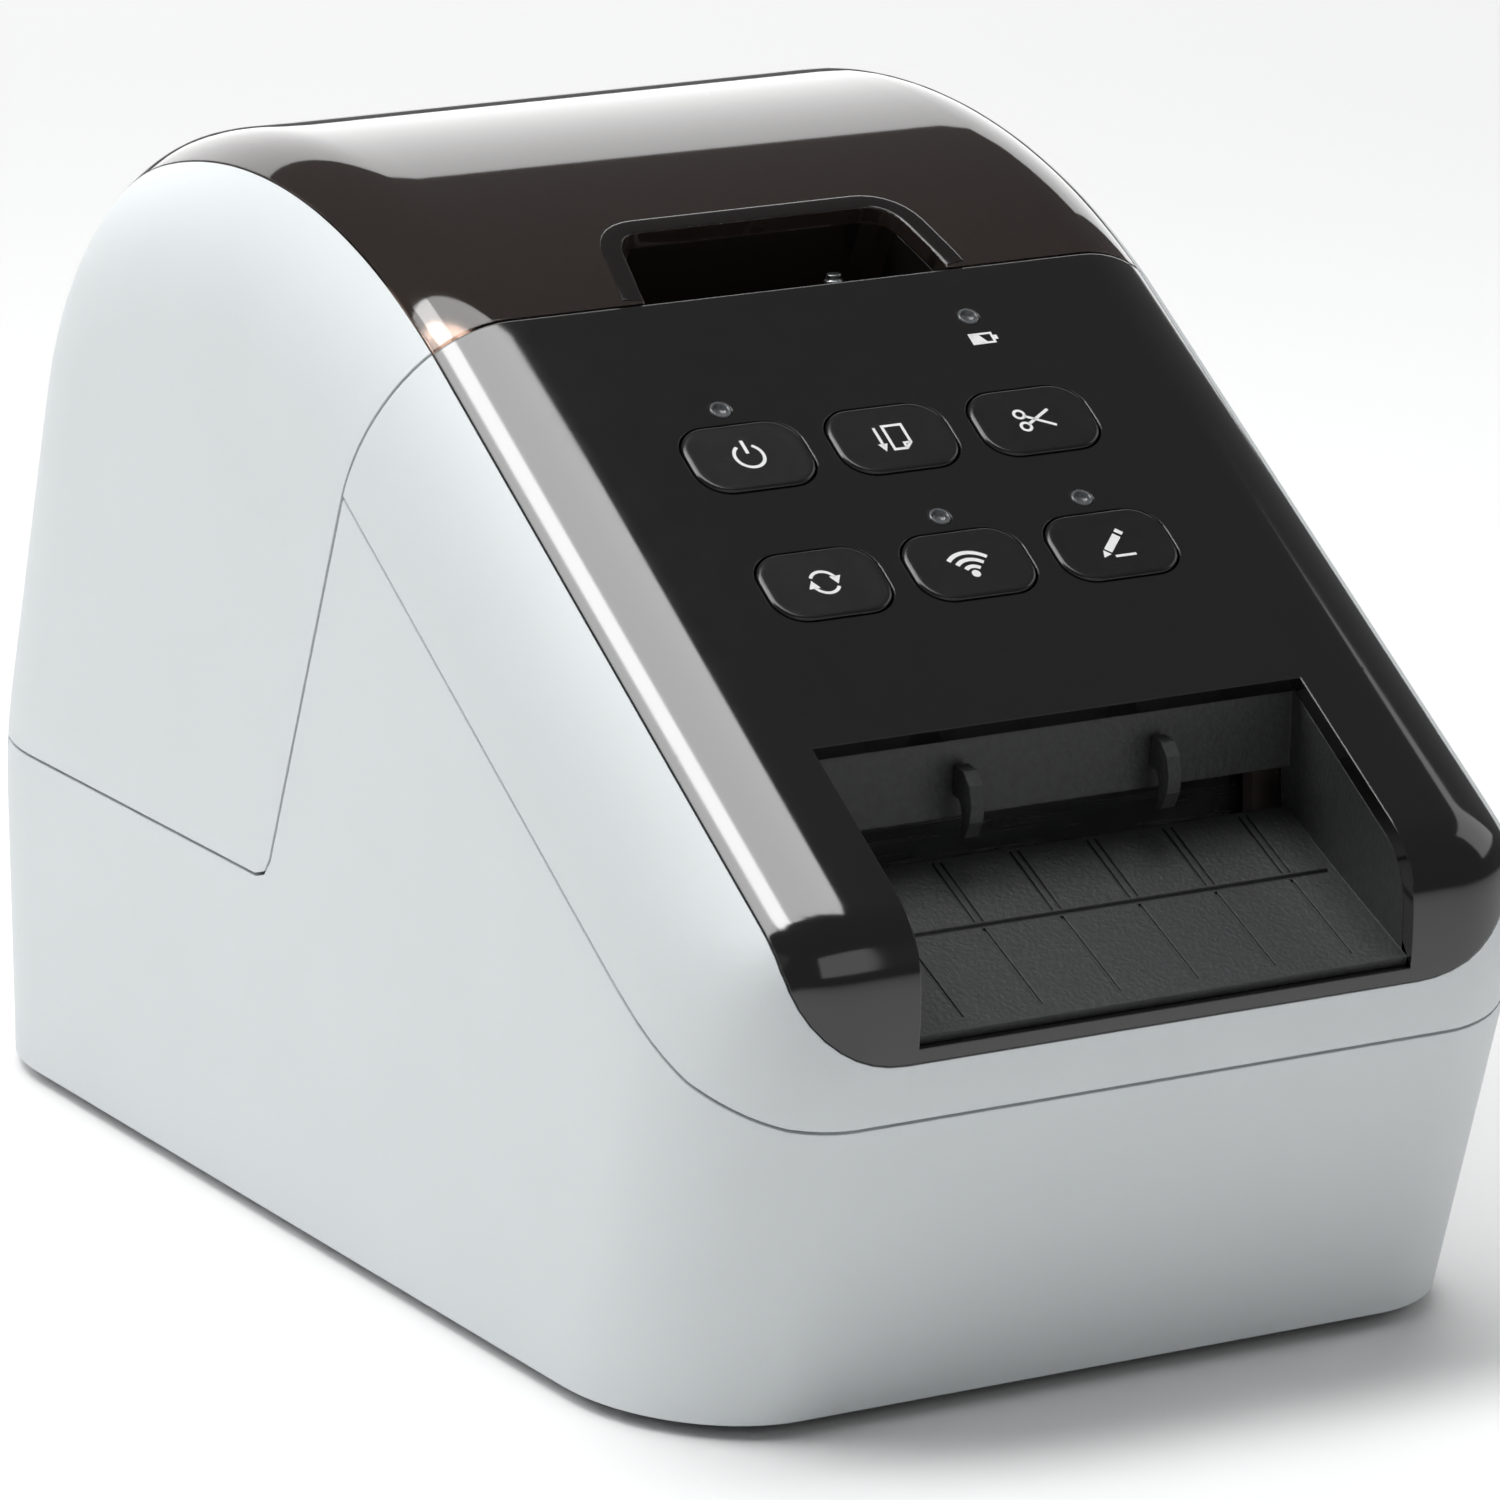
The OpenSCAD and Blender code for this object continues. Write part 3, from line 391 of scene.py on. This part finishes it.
# %% Lid frame and window
LOW = 62
bm = cut(whole.copy(), lid_region, **SIDE)
cut(bm, rectangle(-BLACK, LOW, BLACK, 230), keep=False, **FRONT)
lid_frame = finish_piece("lid_frame", bm, "lid", ["lid_shell"])
bm = cut(whole.copy(), lid_region, **SIDE)
cut(bm, rectangle(-BLACK + 0.2, LOW + 0.2, BLACK - 0.2, 230), **FRONT)
NOTCH_AT, NOTCH_TILT = (-23.2, 130.4), 29
nt = math.radians(NOTCH_TILT)
bend_a, bend_b, bend_c = Vector((21.3, 9.9)), Vector((20.5, 14.7)), Vector((16.4, 14.7))
half = [(24, -10), (22.5, 2.94)] + [tuple(bend_a * (1 - t) ** 2 + bend_b * 2 * t * (1 - t) + bend_c * t * t)
                                    for t in np.linspace(0, 1, 8)]
notch = half + [(-x, v) for x, v in reversed(half)]
cut(bm, notch, (1, 0, 0), (0, math.cos(nt), math.sin(nt)), (0, *NOTCH_AT), keep=False,
    where=lambda co: co.y < 0)
window = finish_piece("smoky_lid_window", bm, "lid", ["lid_window"])
whole.free()

# %% [markdown]
# A black frame runs round the finger notch, where a thumb presses. Its section is a low rounded bar, and the
# section is carried along the notch's outline, each point lifted to the crown of the lid.

# %% Frame round the finger notch
def on_crown(x, v, out):
    """A point given in the notch's own plane, lifted square to that plane until it meets the crown."""
    p = np.array(NOTCH_AT) + v * direction(NOTCH_TILT) - crown_c
    n = direction(NOTCH_TILT + 90)
    b = p @ n
    p = p + n * (-b + math.sqrt(b * b - p @ p + (CROWN_R - SKIN + out) ** 2)) + crown_c
    return Vector((x, p[0], p[1]))


path = [Vector(p) for p in [(22.8, 0.9)] + half[1:]]
path = path + [Vector((-p.x, p.y)) for p in reversed(path)]
steps = [(b - a).normalized() for a, b in zip(path, path[1:])]
sides = [Vector((d.y, -d.x)) for d in steps]
mitres = [(a + b).normalized() / max(0.5, (a + b).normalized() @ a)
          for a, b in zip(sides[:1] + sides, sides + sides[-1:])]
section = [(0.0, -2.6), (0.0, -0.1), (0.1, 0.05), (0.3, 0.1), (2.6, 0.12), (2.85, 0.08), (2.95, -0.05),
           (2.95, -2.6)]
bm = bmesh.new()
stations = [[bm.verts.new(on_crown(*(p + m * u), out)) for u, out in section] for p, m in zip(path, mitres)]
loft(bm, stations)
bmesh.ops.recalc_face_normals(bm, faces=bm.faces)
notch_rim = finish_piece("notch_frame", bm, "lid", [], wall=0, sharp=50)

# %% [markdown]
# The label tray keeps its working shape. Only its side and rear walls are lowered under the panel's edge, so
# that the panel's polished rim is what the eye meets, as on a moulding that laps over its tray.

# %% Label tray
bm = bmesh.new()
bm.from_mesh(frame["nodes"]["output_tray"].data)
in_mm = Matrix.Scale(1 / MM, 4) @ frame["nodes"]["output_tray"].matrix_world
bmesh.ops.transform(bm, matrix=in_mm, verts=bm.verts)
bmesh.ops.remove_doubles(bm, verts=bm.verts, dist=1e-4)
lowered = 0
for v in bm.verts:
    reach = normals @ np.array([v.co.y, v.co.z]) - heights
    side_wall, rear_wall = abs(v.co.x) > RECESS - 0.05 and v.co.z > 56, v.co.z > 84
    if reach.max() > -0.2 and (side_wall or rear_wall):
        n = normals[reach.argmax()]
        v.co -= Vector((0, n[0], n[1])) * (WALL + 0.15)
        lowered += 1
tray = finish_piece("label_tray", bm, "base", ["output_tray"], wall=0, sharp=4)
print("tray points lowered:", lowered)

# %% [markdown]
# Each lamp looks out through a little light guide: a polished ring about a sunken cup. It is drawn as a
# profile and spun.

# %% Lamps
guide_profile = [(1.46, -3.0), (1.46, 0.0), (1.4, 0.09), (1.25, 0.14), (1.1, 0.08), (1.02, -0.06),
                 (0.96, -0.35), (0.75, -0.5), (0.4, -0.56)]
TURN = np.linspace(0, 2 * math.pi, 36, False)
bm = bmesh.new()
for x, s in lamps:
    rings = [[bm.verts.new(on_panel(x + r * math.cos(t), s + r * math.sin(t), out)) for t in TURN]
             for r, out in guide_profile]
    loft(bm, rings)
guides = finish_piece("light_guides", bm, "base", ["indicator_lenses"], wall=0, sharp=60)

# %% [markdown]
# A key is a soft-edged cap. Its outline is repeated at a few heights, pulled in a little more each time, so
# that the rim catches a thin line of light, and the top is very slightly dished for a fingertip.

# %% Key caps
def build_cap(name):
    """One key cap with its skirt, in panel coordinates turned into place."""
    cx, cs = key_at[name]
    bm = bmesh.new()
    levels = [(0.0, -3.4), (0.0, -0.15), (0.02, -0.02), (0.08, 0.1), (0.2, 0.21), (0.36, 0.27), (0.55, 0.29),
              (0.9, 0.288), (1.6, 0.28), (2.8, 0.27), (4.0, 0.265)]
    loops = []
    for inset, out in levels:
        pts = round_rect(KEY_W - 2 * inset, KEY_L - 2 * inset, max(0.35, KEY_R - inset), cx, cs, 10)
        loops.append([bm.verts.new(on_panel(x, s, out)) for x, s in pts])
    loft(bm, loops)
    return finish_piece("key_" + name, bm, "key_" + name, ["button_" + name], wall=0, sharp=50)


caps = {name: build_cap(name) for name in KEYS}

# %% [markdown]
# The symbols are pad-printed in white ink. Ink has almost no thickness, so each mark is a flat ribbon laid a
# few hundredths of a millimetre above the cap. Strokes are drawn from points and a pen width. The marks are
# ordinary ones: power, label feed, scissors, a pairing loop, radio waves, a pencil and a battery.

# %% Pen strokes
def ribbon(bm, pts, pen, closed=False, place=None):
    """Lays a flat stroke of a given pen width along the points."""
    pts = [Vector(p) for p in pts]
    n = len(pts)
    left, right = [], []
    for i, p in enumerate(pts):
        before = pts[i - 1] if closed or i else p
        after = pts[(i + 1) % n] if closed or i < n - 1 else p
        d1 = (p - before).normalized() if (p - before).length else (after - p).normalized()
        d2 = (after - p).normalized() if (after - p).length else d1
        n1, n2 = Vector((-d1.y, d1.x)), Vector((-d2.y, d2.x))
        m = (n1 + n2)
        m = m / max(0.35, m.length_squared) * 2 if m.length else n1
        left.append(bm.verts.new(place(*(p + m * pen / 2))))
        right.append(bm.verts.new(place(*(p - m * pen / 2))))
    for i in range(n if closed else n - 1):
        j = (i + 1) % n
        bm.faces.new((left[i], right[i], right[j], left[j]))


def blot(bm, pts, place):
    """A filled flat shape."""
    bm.faces.new([bm.verts.new(place(*p)) for p in pts])


def arc_points(cx, cy, r, a0, a1, steps=22):
    """Points along an arc, with its angles in degrees."""
    return [(cx + r * math.cos(math.radians(a0 + (a1 - a0) * i / steps)),
             cy + r * math.sin(math.radians(a0 + (a1 - a0) * i / steps))) for i in range(steps + 1)]


print("pen strokes ready")

# %% [markdown]
# Each mark is drawn about its own centre in millimetres: across first, then up the slope. The printed piece
# rides with its key, so a pressed key takes its mark along.

# %% Symbols
def draw_power(bm, at):
    ribbon(bm, arc_points(0, -0.1, 2.05, 122, 418, 30), 0.48, place=at)
    ribbon(bm, [(0, 0.35), (0, 2.75)], 0.5, place=at)


def draw_feed(bm, at):
    ribbon(bm, [(-0.7, 2.1), (2.1, 2.1), (2.1, -1.2), (1.1, -2.2), (-0.7, -2.2)], 0.42, True, at)
    ribbon(bm, [(2.1, -1.2), (1.1, -1.2), (1.1, -2.2)], 0.36, place=at)
    ribbon(bm, [(-2.0, 2.0), (-2.0, -1.2)], 0.42, place=at)
    blot(bm, [(-2.7, -1.0), (-2.0, -2.4), (-1.3, -1.0)], at)


def draw_cut(bm, at):
    ribbon(bm, arc_points(-1.75, 1.15, 0.72, 0, 342, 18), 0.42, True, at)
    ribbon(bm, arc_points(-1.75, -1.15, 0.72, 0, 342, 18), 0.42, True, at)
    ribbon(bm, [(-1.15, 0.75), (2.7, -1.5)], 0.44, place=at)
    ribbon(bm, [(-1.15, -0.75), (2.7, 1.5)], 0.44, place=at)


def draw_pair(bm, at):
    ribbon(bm, arc_points(0, 0, 1.9, 20, 150), 0.46, place=at)
    ribbon(bm, arc_points(0, 0, 1.9, 200, 330), 0.46, place=at)
    blot(bm, [(2.65, 0.9), (1.0, 0.85), (1.75, -0.55)], at)
    blot(bm, [(-2.65, -0.9), (-1.0, -0.85), (-1.75, 0.55)], at)


def draw_wireless(bm, at):
    for r, pen in ((1.5, 0.62), (2.75, 0.62), (4.0, 0.62)):
        ribbon(bm, arc_points(0, -2.2, r, 45, 135), pen, place=at)
    blot(bm, arc_points(0, -2.0, 0.62, 0, 342, 18), at)


def draw_edit(bm, at):
    ribbon(bm, [(-1.2, -1.2), (1.3, 1.3)], 1.15, place=at)
    blot(bm, [(-2.3, -2.3), (-1.0, -1.85), (-1.85, -1.0)], at)
    ribbon(bm, [(1.62, 1.62), (2.1, 2.1)], 1.15, place=at)
    ribbon(bm, [(-0.6, -2.3), (2.5, -2.3)], 0.42, place=at)


def printed(name, draw, centre, out, body):
    """One printed mark as a piece of its own."""
    bm = bmesh.new()
    at = lambda x, s: on_panel(centre[0] + x, centre[1] + s, out)
    draw(bm, at)
    for f in bm.faces:
        f.normal_update()
        if f.normal.dot(P_OUT) < 0:
            f.normal_flip()
    return finish_piece(name, bm, body, [], wall=0)


def draw_battery(bm, at):
    ribbon(bm, [(-1.7, -0.85), (1.5, -0.85), (1.5, 0.85), (-1.7, 0.85)], 0.36, True, at)
    blot(bm, [(-1.6, -0.8), (0.5, -0.8), (-0.4, 0.8), (-1.6, 0.8)], at)
    blot(bm, [(1.7, -0.4), (2.2, -0.4), (2.2, 0.4), (1.7, 0.4)], at)


DRAW = {"power": draw_power, "feed": draw_feed, "cut": draw_cut, "pair": draw_pair, "wireless": draw_wireless,
        "edit": draw_edit}
INK_OUT = 0.31  # just above the cap's top
marks = [printed("print_" + k, DRAW[k], key_at[k], INK_OUT, "key_" + k) for k in KEYS]
marks.append(printed("print_battery", draw_battery, (21.4, -13.1), 0.0, "base"))

# %% [markdown]
# Finishes come next. Two small shader groups serve nearly all of them: one makes the fine relief of a moulded
# or machined surface, the other lets a colour drift a little, as no real surface is one even colour.

# %% Shader groups
def new_group(name, inputs, outputs):
    """A node group with typed sockets, and its input and output nodes."""
    tree = bpy.data.node_groups.new(name, "ShaderNodeTree")
    for label, kind, value in inputs:
        s = tree.interface.new_socket(label, in_out="INPUT", socket_type=kind)
        if value is not None:
            s.default_value = value
    for label, kind in outputs:
        tree.interface.new_socket(label, in_out="OUTPUT", socket_type=kind)
    return tree, tree.nodes.new("NodeGroupInput"), tree.nodes.new("NodeGroupOutput")


FLOAT, COLOUR, VECTOR = "NodeSocketFloat", "NodeSocketColor", "NodeSocketVector"
relief, rin, rout = new_group("Surface relief", [("Grain per metre", FLOAT, 2500), ("Depth mm", FLOAT, 0.01),
                                                 ("Stretch", VECTOR, (1, 1, 1)), ("Normal", VECTOR, None)],
                              [("Normal", VECTOR), ("Mask", FLOAT)])
coords = relief.nodes.new("ShaderNodeTexCoord")
stretch = relief.nodes.new("ShaderNodeVectorMath")
stretch.operation = "MULTIPLY"
grain = relief.nodes.new("ShaderNodeTexNoise")
grain.inputs["Detail"].default_value = 3
depth = relief.nodes.new("ShaderNodeMath")
depth.operation = "MULTIPLY"
depth.inputs[1].default_value = 0.001
bump = relief.nodes.new("ShaderNodeBump")
relief.links.new(coords.outputs["Object"], stretch.inputs[0])
relief.links.new(rin.outputs["Stretch"], stretch.inputs[1])
relief.links.new(stretch.outputs[0], grain.inputs["Vector"])
relief.links.new(rin.outputs["Grain per metre"], grain.inputs["Scale"])
relief.links.new(rin.outputs["Depth mm"], depth.inputs[0])
relief.links.new(depth.outputs[0], bump.inputs["Distance"])
relief.links.new(grain.outputs[0], bump.inputs["Height"])
relief.links.new(rin.outputs["Normal"], bump.inputs["Normal"])
relief.links.new(bump.outputs["Normal"], rout.inputs["Normal"])
relief.links.new(grain.outputs[0], rout.inputs["Mask"])

drift, din, dout = new_group("Colour drift", [("Colour", COLOUR, (1, 1, 1, 1)), ("Amount", FLOAT, 0.08),
                                              ("Patches per metre", FLOAT, 30)],
                             [("Colour", COLOUR), ("Value", FLOAT)])
coords = drift.nodes.new("ShaderNodeTexCoord")
cloud = drift.nodes.new("ShaderNodeTexNoise")
cloud.inputs["Detail"].default_value = 4
spread = drift.nodes.new("ShaderNodeMapRange")
spread.inputs["From Min"].default_value = 0.3
spread.inputs["From Max"].default_value = 0.7
spread.inputs["To Max"].default_value = 1.0
low = drift.nodes.new("ShaderNodeMath")
low.operation = "SUBTRACT"
low.inputs[0].default_value = 1.0
shade = drift.nodes.new("ShaderNodeVectorMath")
shade.operation = "SCALE"
drift.links.new(coords.outputs["Object"], cloud.inputs["Vector"])
drift.links.new(din.outputs["Patches per metre"], cloud.inputs["Scale"])
drift.links.new(din.outputs["Amount"], low.inputs[1])
drift.links.new(cloud.outputs[0], spread.inputs["Value"])
drift.links.new(low.outputs[0], spread.inputs["To Min"])
drift.links.new(din.outputs["Colour"], shade.inputs[0])
drift.links.new(spread.outputs[0], shade.inputs["Scale"])
drift.links.new(shade.outputs[0], dout.inputs["Colour"])
drift.links.new(spread.outputs[0], dout.inputs["Value"])
print("shader groups:", [t.name for t in (relief, drift)])


# %% [markdown]
# One recipe then covers every solid finish. It sets a base colour, how polished it is, how coarse its relief
# is, and how round its edges look: a bevel node softens the light on edges that a mould always rounds.

# %% The finish recipe
def finish(name, colour, rough, metal=0.0, grain=2500, depth=0.008, drift_by=0.06, patches=30, edge=0.25,
           stretch=(1, 1, 1), rough_swing=0.08, **sockets):
    """A procedural finish: drifting colour, moving roughness, fine relief and softened edges."""
    m = bpy.data.materials.new(name)
    m.use_nodes = True
    tree = m.node_tree
    shader = tree.nodes["Principled BSDF"]
    fine, tone = tree.nodes.new("ShaderNodeGroup"), tree.nodes.new("ShaderNodeGroup")
    fine.node_tree, tone.node_tree = relief, drift
    fine.inputs["Grain per metre"].default_value = grain
    fine.inputs["Depth mm"].default_value = depth
    fine.inputs["Stretch"].default_value = stretch
    tone.inputs["Colour"].default_value = (*colour, 1)
    tone.inputs["Amount"].default_value = drift_by
    tone.inputs["Patches per metre"].default_value = patches
    soft = tree.nodes.new("ShaderNodeBevel")
    soft.samples = 4
    soft.inputs["Radius"].default_value = edge * MM
    swing = tree.nodes.new("ShaderNodeMapRange")
    swing.inputs["To Min"].default_value = max(0.02, rough - rough_swing)
    swing.inputs["To Max"].default_value = rough + rough_swing
    tree.links.new(soft.outputs["Normal"], fine.inputs["Normal"])
    tree.links.new(fine.outputs["Normal"], shader.inputs["Normal"])
    tree.links.new(fine.outputs["Mask"], swing.inputs["Value"])
    tree.links.new(swing.outputs[0], shader.inputs["Roughness"])
    tree.links.new(tone.outputs["Colour"], shader.inputs["Base Color"])
    shader.inputs["Metallic"].default_value = metal
    for label, value in sockets.items():
        shader.inputs[label.replace("_", " ")].default_value = value
    return m


FINISH = {
    "white_shell": finish("Spark-eroded white", (0.655, 0.69, 0.70), 0.5, grain=2600, depth=0.012,
                          drift_by=0.025),
    "dark_base": finish("Dark base moulding", (0.05, 0.05, 0.055), 0.55, depth=0.02),
    "rubber": finish("Rubber", (0.022, 0.022, 0.024), 0.8, grain=1800, depth=0.03, drift_by=0.25),
    "black_gloss": finish("Piano black", (0.0072, 0.0066, 0.0064), 0.09, grain=240, depth=0.0004,
                          drift_by=0.2, rough_swing=0.03, edge=0.3, Specular_IOR_Level=0.85),
    "tray_black": finish("Grained black", (0.031, 0.032, 0.033), 0.46, grain=1500, depth=0.09, drift_by=0.3,
                         patches=900),
    "key_black": finish("Key black", (0.0085, 0.0078, 0.0076), 0.2, grain=900, depth=0.003, drift_by=0.2,
                        rough_swing=0.05, edge=0.1),
    "lens": finish("Light guide", (0.10, 0.105, 0.11), 0.14, grain=900, depth=0.003, drift_by=0.3,
                   patches=600, edge=0.1),
    "circuit_board": finish("Solder mask", (0.012, 0.11, 0.045), 0.35, grain=500, depth=0.02, drift_by=0.5,
                            patches=350),
    "switch_metal": finish("Switch body", (0.3, 0.31, 0.33), 0.35, metal=0.7, drift_by=0.15),
    "smoky_dark": finish("Dark smoky moulding", (0.009, 0.0075, 0.007), 0.12, grain=300, depth=0.002,
                         drift_by=0.2),
    "steel": finish("Machined steel", (0.56, 0.57, 0.58), 0.26, metal=1.0, grain=1400, depth=0.004,
                    stretch=(0.05, 1, 1), drift_by=0.12),
    "inner_dark": finish("Dark inner moulding", (0.17, 0.14, 0.125), 0.5, grain=1500, depth=0.03,
                         drift_by=0.2),
    "steel_sheet": finish("Zinc sheet", (0.42, 0.43, 0.44), 0.38, metal=0.9, drift_by=0.3, patches=160),
    "gear_plastic": finish("Natural acetal", (0.72, 0.68, 0.56), 0.42, drift_by=0.1, Subsurface_Weight=0.08),
    "motor_case": finish("Plated motor can", (0.4, 0.41, 0.42), 0.32, metal=1.0, drift_by=0.15),
    "brass": finish("Turned brass", (0.68, 0.5, 0.22), 0.25, metal=1.0, drift_by=0.12),
    "head_ceramic": finish("Glazed ceramic", (0.66, 0.64, 0.58), 0.2, drift_by=0.08),
    "aluminium": finish("Extruded aluminium", (0.6, 0.61, 0.62), 0.34, metal=1.0, stretch=(0.04, 1, 1)),
    "spring_steel": finish("Spring steel", (0.5, 0.5, 0.52), 0.22, metal=1.0, drift_by=0.15),
    "chip_black": finish("Chip bodies", (0.02, 0.02, 0.02), 0.5, drift_by=0.25),
    "coil_yellow": finish("Transformer tape", (0.5, 0.36, 0.06), 0.4, drift_by=0.2),
    "black_plain": finish("Plain black moulding", (0.02, 0.02, 0.022), 0.42, depth=0.015, drift_by=0.2),
}
ink = finish("White ink", (0.8, 0.8, 0.8), 0.5, grain=3000, depth=0.003, drift_by=0.1, patches=900)
print("finishes:", len(FINISH))

# %% [markdown]
# The window is smoky plastic. Light that meets it is split in two by angle, as Fresnel's law says: part is
# mirrored from the polished face, and the rest passes on, dyed brown. Two faces dye it twice, which is why
# the roll bay behind looks so dark.

# %% Smoky window
smoke = bpy.data.materials.new("Smoky window")
smoke.use_nodes = True
tree = smoke.node_tree
tree.nodes.remove(tree.nodes["Principled BSDF"])
tint, gloss = tree.nodes.new("ShaderNodeBsdfTransparent"), tree.nodes.new("ShaderNodeBsdfGlossy")
body, blend_body = tree.nodes.new("ShaderNodeBsdfDiffuse"), tree.nodes.new("ShaderNodeMixShader")
split, blend_gloss = tree.nodes.new("ShaderNodeFresnel"), tree.nodes.new("ShaderNodeMixShader")
fine, tone = tree.nodes.new("ShaderNodeGroup"), tree.nodes.new("ShaderNodeGroup")
fine.node_tree, tone.node_tree = relief, drift
fine.inputs["Grain per metre"].default_value = 90
fine.inputs["Depth mm"].default_value = 0.001
geometry = tree.nodes.new("ShaderNodeBevel")
geometry.inputs["Radius"].default_value = 0.3 * MM
tree.links.new(geometry.outputs["Normal"], fine.inputs["Normal"])
tone.inputs["Colour"].default_value = (0.6, 0.49, 0.43, 1)
tone.inputs["Amount"].default_value = 0.06
split.inputs["IOR"].default_value = 1.5
gloss.inputs["Roughness"].default_value = 0.045
gloss.inputs["Color"].default_value = (1, 1, 1, 1)
body.inputs["Color"].default_value = (0.075, 0.056, 0.049, 1)
blend_body.inputs["Fac"].default_value = 0.27
tree.links.new(tone.outputs["Colour"], tint.inputs["Color"])
tree.links.new(fine.outputs["Normal"], gloss.inputs["Normal"])
tree.links.new(fine.outputs["Normal"], split.inputs["Normal"])
tree.links.new(tint.outputs[0], blend_body.inputs[1])
tree.links.new(body.outputs[0], blend_body.inputs[2])
tree.links.new(split.outputs[0], blend_gloss.inputs["Fac"])
tree.links.new(blend_body.outputs[0], blend_gloss.inputs[1])
tree.links.new(gloss.outputs[0], blend_gloss.inputs[2])
tree.links.new(blend_gloss.outputs[0], tree.nodes["Material Output"].inputs["Surface"])
FINISH["smoky_window"] = smoke
FINISH["black_gloss_plate"] = FINISH["black_gloss"]


# %% [markdown]
# Each part takes the finish that its material slot names, so a part and its record can't disagree.

# %% Dressing every part
slots = {s["node"]: s["material_slot"] for s in frame["record"]["subparts"]}
for name, obj in frame["nodes"].items():
    obj.data.materials.clear()
    obj.data.materials.append(FINISH[slots[name]])
for piece, slot_name in ((housing, "white_shell"), (bezel, "white_shell"), (lid_frame, "white_shell"),
                         (panel, "black_gloss"), (window, "smoky_window"), (notch_rim, "smoky_dark"),
                         (tray, "tray_black"), (guides, "lens")):
    piece.data.materials.append(FINISH[slot_name])
for cap in caps.values():
    cap.data.materials.append(FINISH["key_black"])
for mark in marks:
    mark.data.materials.append(ink)
print("dressed", len(slots), "parts")

# %% [markdown]
# The floor is a broad pale sheet. Above it hang soft boxes: a large one overhead and to the left, which draws
# the silver band along the panel's rounded edge, and a low wide one behind, which the lid's crown mirrors.

# %% Floor, lights and world
bm = bmesh.new()
bmesh.ops.create_grid(bm, x_segments=2, y_segments=2, size=6)
mesh = bpy.data.meshes.new("floor")
bm.to_mesh(mesh)
bm.free()
floor = bpy.data.objects.new("floor", mesh)
bpy.context.scene.collection.objects.link(floor)
floor.data.materials.append(finish("Pale paper", (0.93, 0.93, 0.93), 0.7, grain=300, depth=0.01,
                                   drift_by=0.01, patches=2, edge=0.0))


def soft_box(name, at, aim, width, height, radiance):
    """A rectangular soft light of a stated brightness, aimed at a point."""
    data = bpy.data.lights.new(name, "AREA")
    data.shape, data.size, data.size_y = "RECTANGLE", width, height
    data.energy = radiance * math.pi * width * height
    lamp = bpy.data.objects.new(name, data)
    lamp.location = at
    lamp.rotation_euler = (Vector(aim) - Vector(at)).to_track_quat("-Z", "Y").to_euler()
    bpy.context.scene.collection.objects.link(lamp)
    return lamp


soft_box("overhead_strip", (-0.335, 0.078, 1.0), (-0.05, 0.02, 0.09), 0.42, 1.61, 5.5)
soft_box("bright_strip", (-0.375, 0.07, 0.871), (-0.05, 0.0, 0.09), 0.4, 0.15, 7.5)
soft_box("back_box", (0.55, 1.75, 0.72), (0, 0.0, 0.1), 2.6, 1.1, 2.2)
soft_box("left_box", (-1.7, -0.4, 0.7), (0, 0, 0.05), 1.5, 1.1, 0.15)
soft_box("front_box", (0.1, -1.9, 0.8), (0, 0, 0.05), 1.6, 0.9, 0.9)
soft_box("right_box", (1.6, -0.2, 0.95), (0, 0, 0.0), 1.2, 1.0, 1.1)
world = bpy.data.worlds.new("studio")
bpy.context.scene.world = world
world.use_nodes = True
world.node_tree.nodes["Background"].inputs["Color"].default_value = (0.98, 0.99, 1.0, 1)
world.node_tree.nodes["Background"].inputs["Strength"].default_value = 0.14
bpy.context.scene.view_settings.view_transform = "Standard"

# %% [markdown]
# The camera stands in front and to the left, a little above, with a long lens, so the side walls hardly
# converge.

# %% Camera
yaw, pitch, roll = math.radians(28.628), math.radians(14.484), math.radians(-0.49)
back = Vector((-math.sin(yaw) * math.cos(pitch), -math.cos(yaw) * math.cos(pitch), math.sin(pitch)))
right = Vector((math.cos(yaw), -math.sin(yaw), 0))
up = back.cross(right)
right_r = right * math.cos(roll) + up * math.sin(roll)
up_r = up * math.cos(roll) - right * math.sin(roll)
cam_data = bpy.data.cameras.new("view")
cam_data.sensor_width, cam_data.lens = 36, 209.63
cam_data.clip_start, cam_data.clip_end = 0.05, 20
cam = bpy.data.objects.new("view", cam_data)
cam.matrix_world = Matrix.Translation((-0.54631, -1.00895, 0.35777)) @ Matrix(
    (right_r, up_r, back)).transposed().to_4x4()
bpy.context.scene.collection.objects.link(cam)
bpy.context.scene.camera = cam
print("camera distance:", round(cam.location.length, 3))

# %% [markdown]
# The last cell brings the scene up to date.

# %% Scene update
bpy.context.view_layer.update()
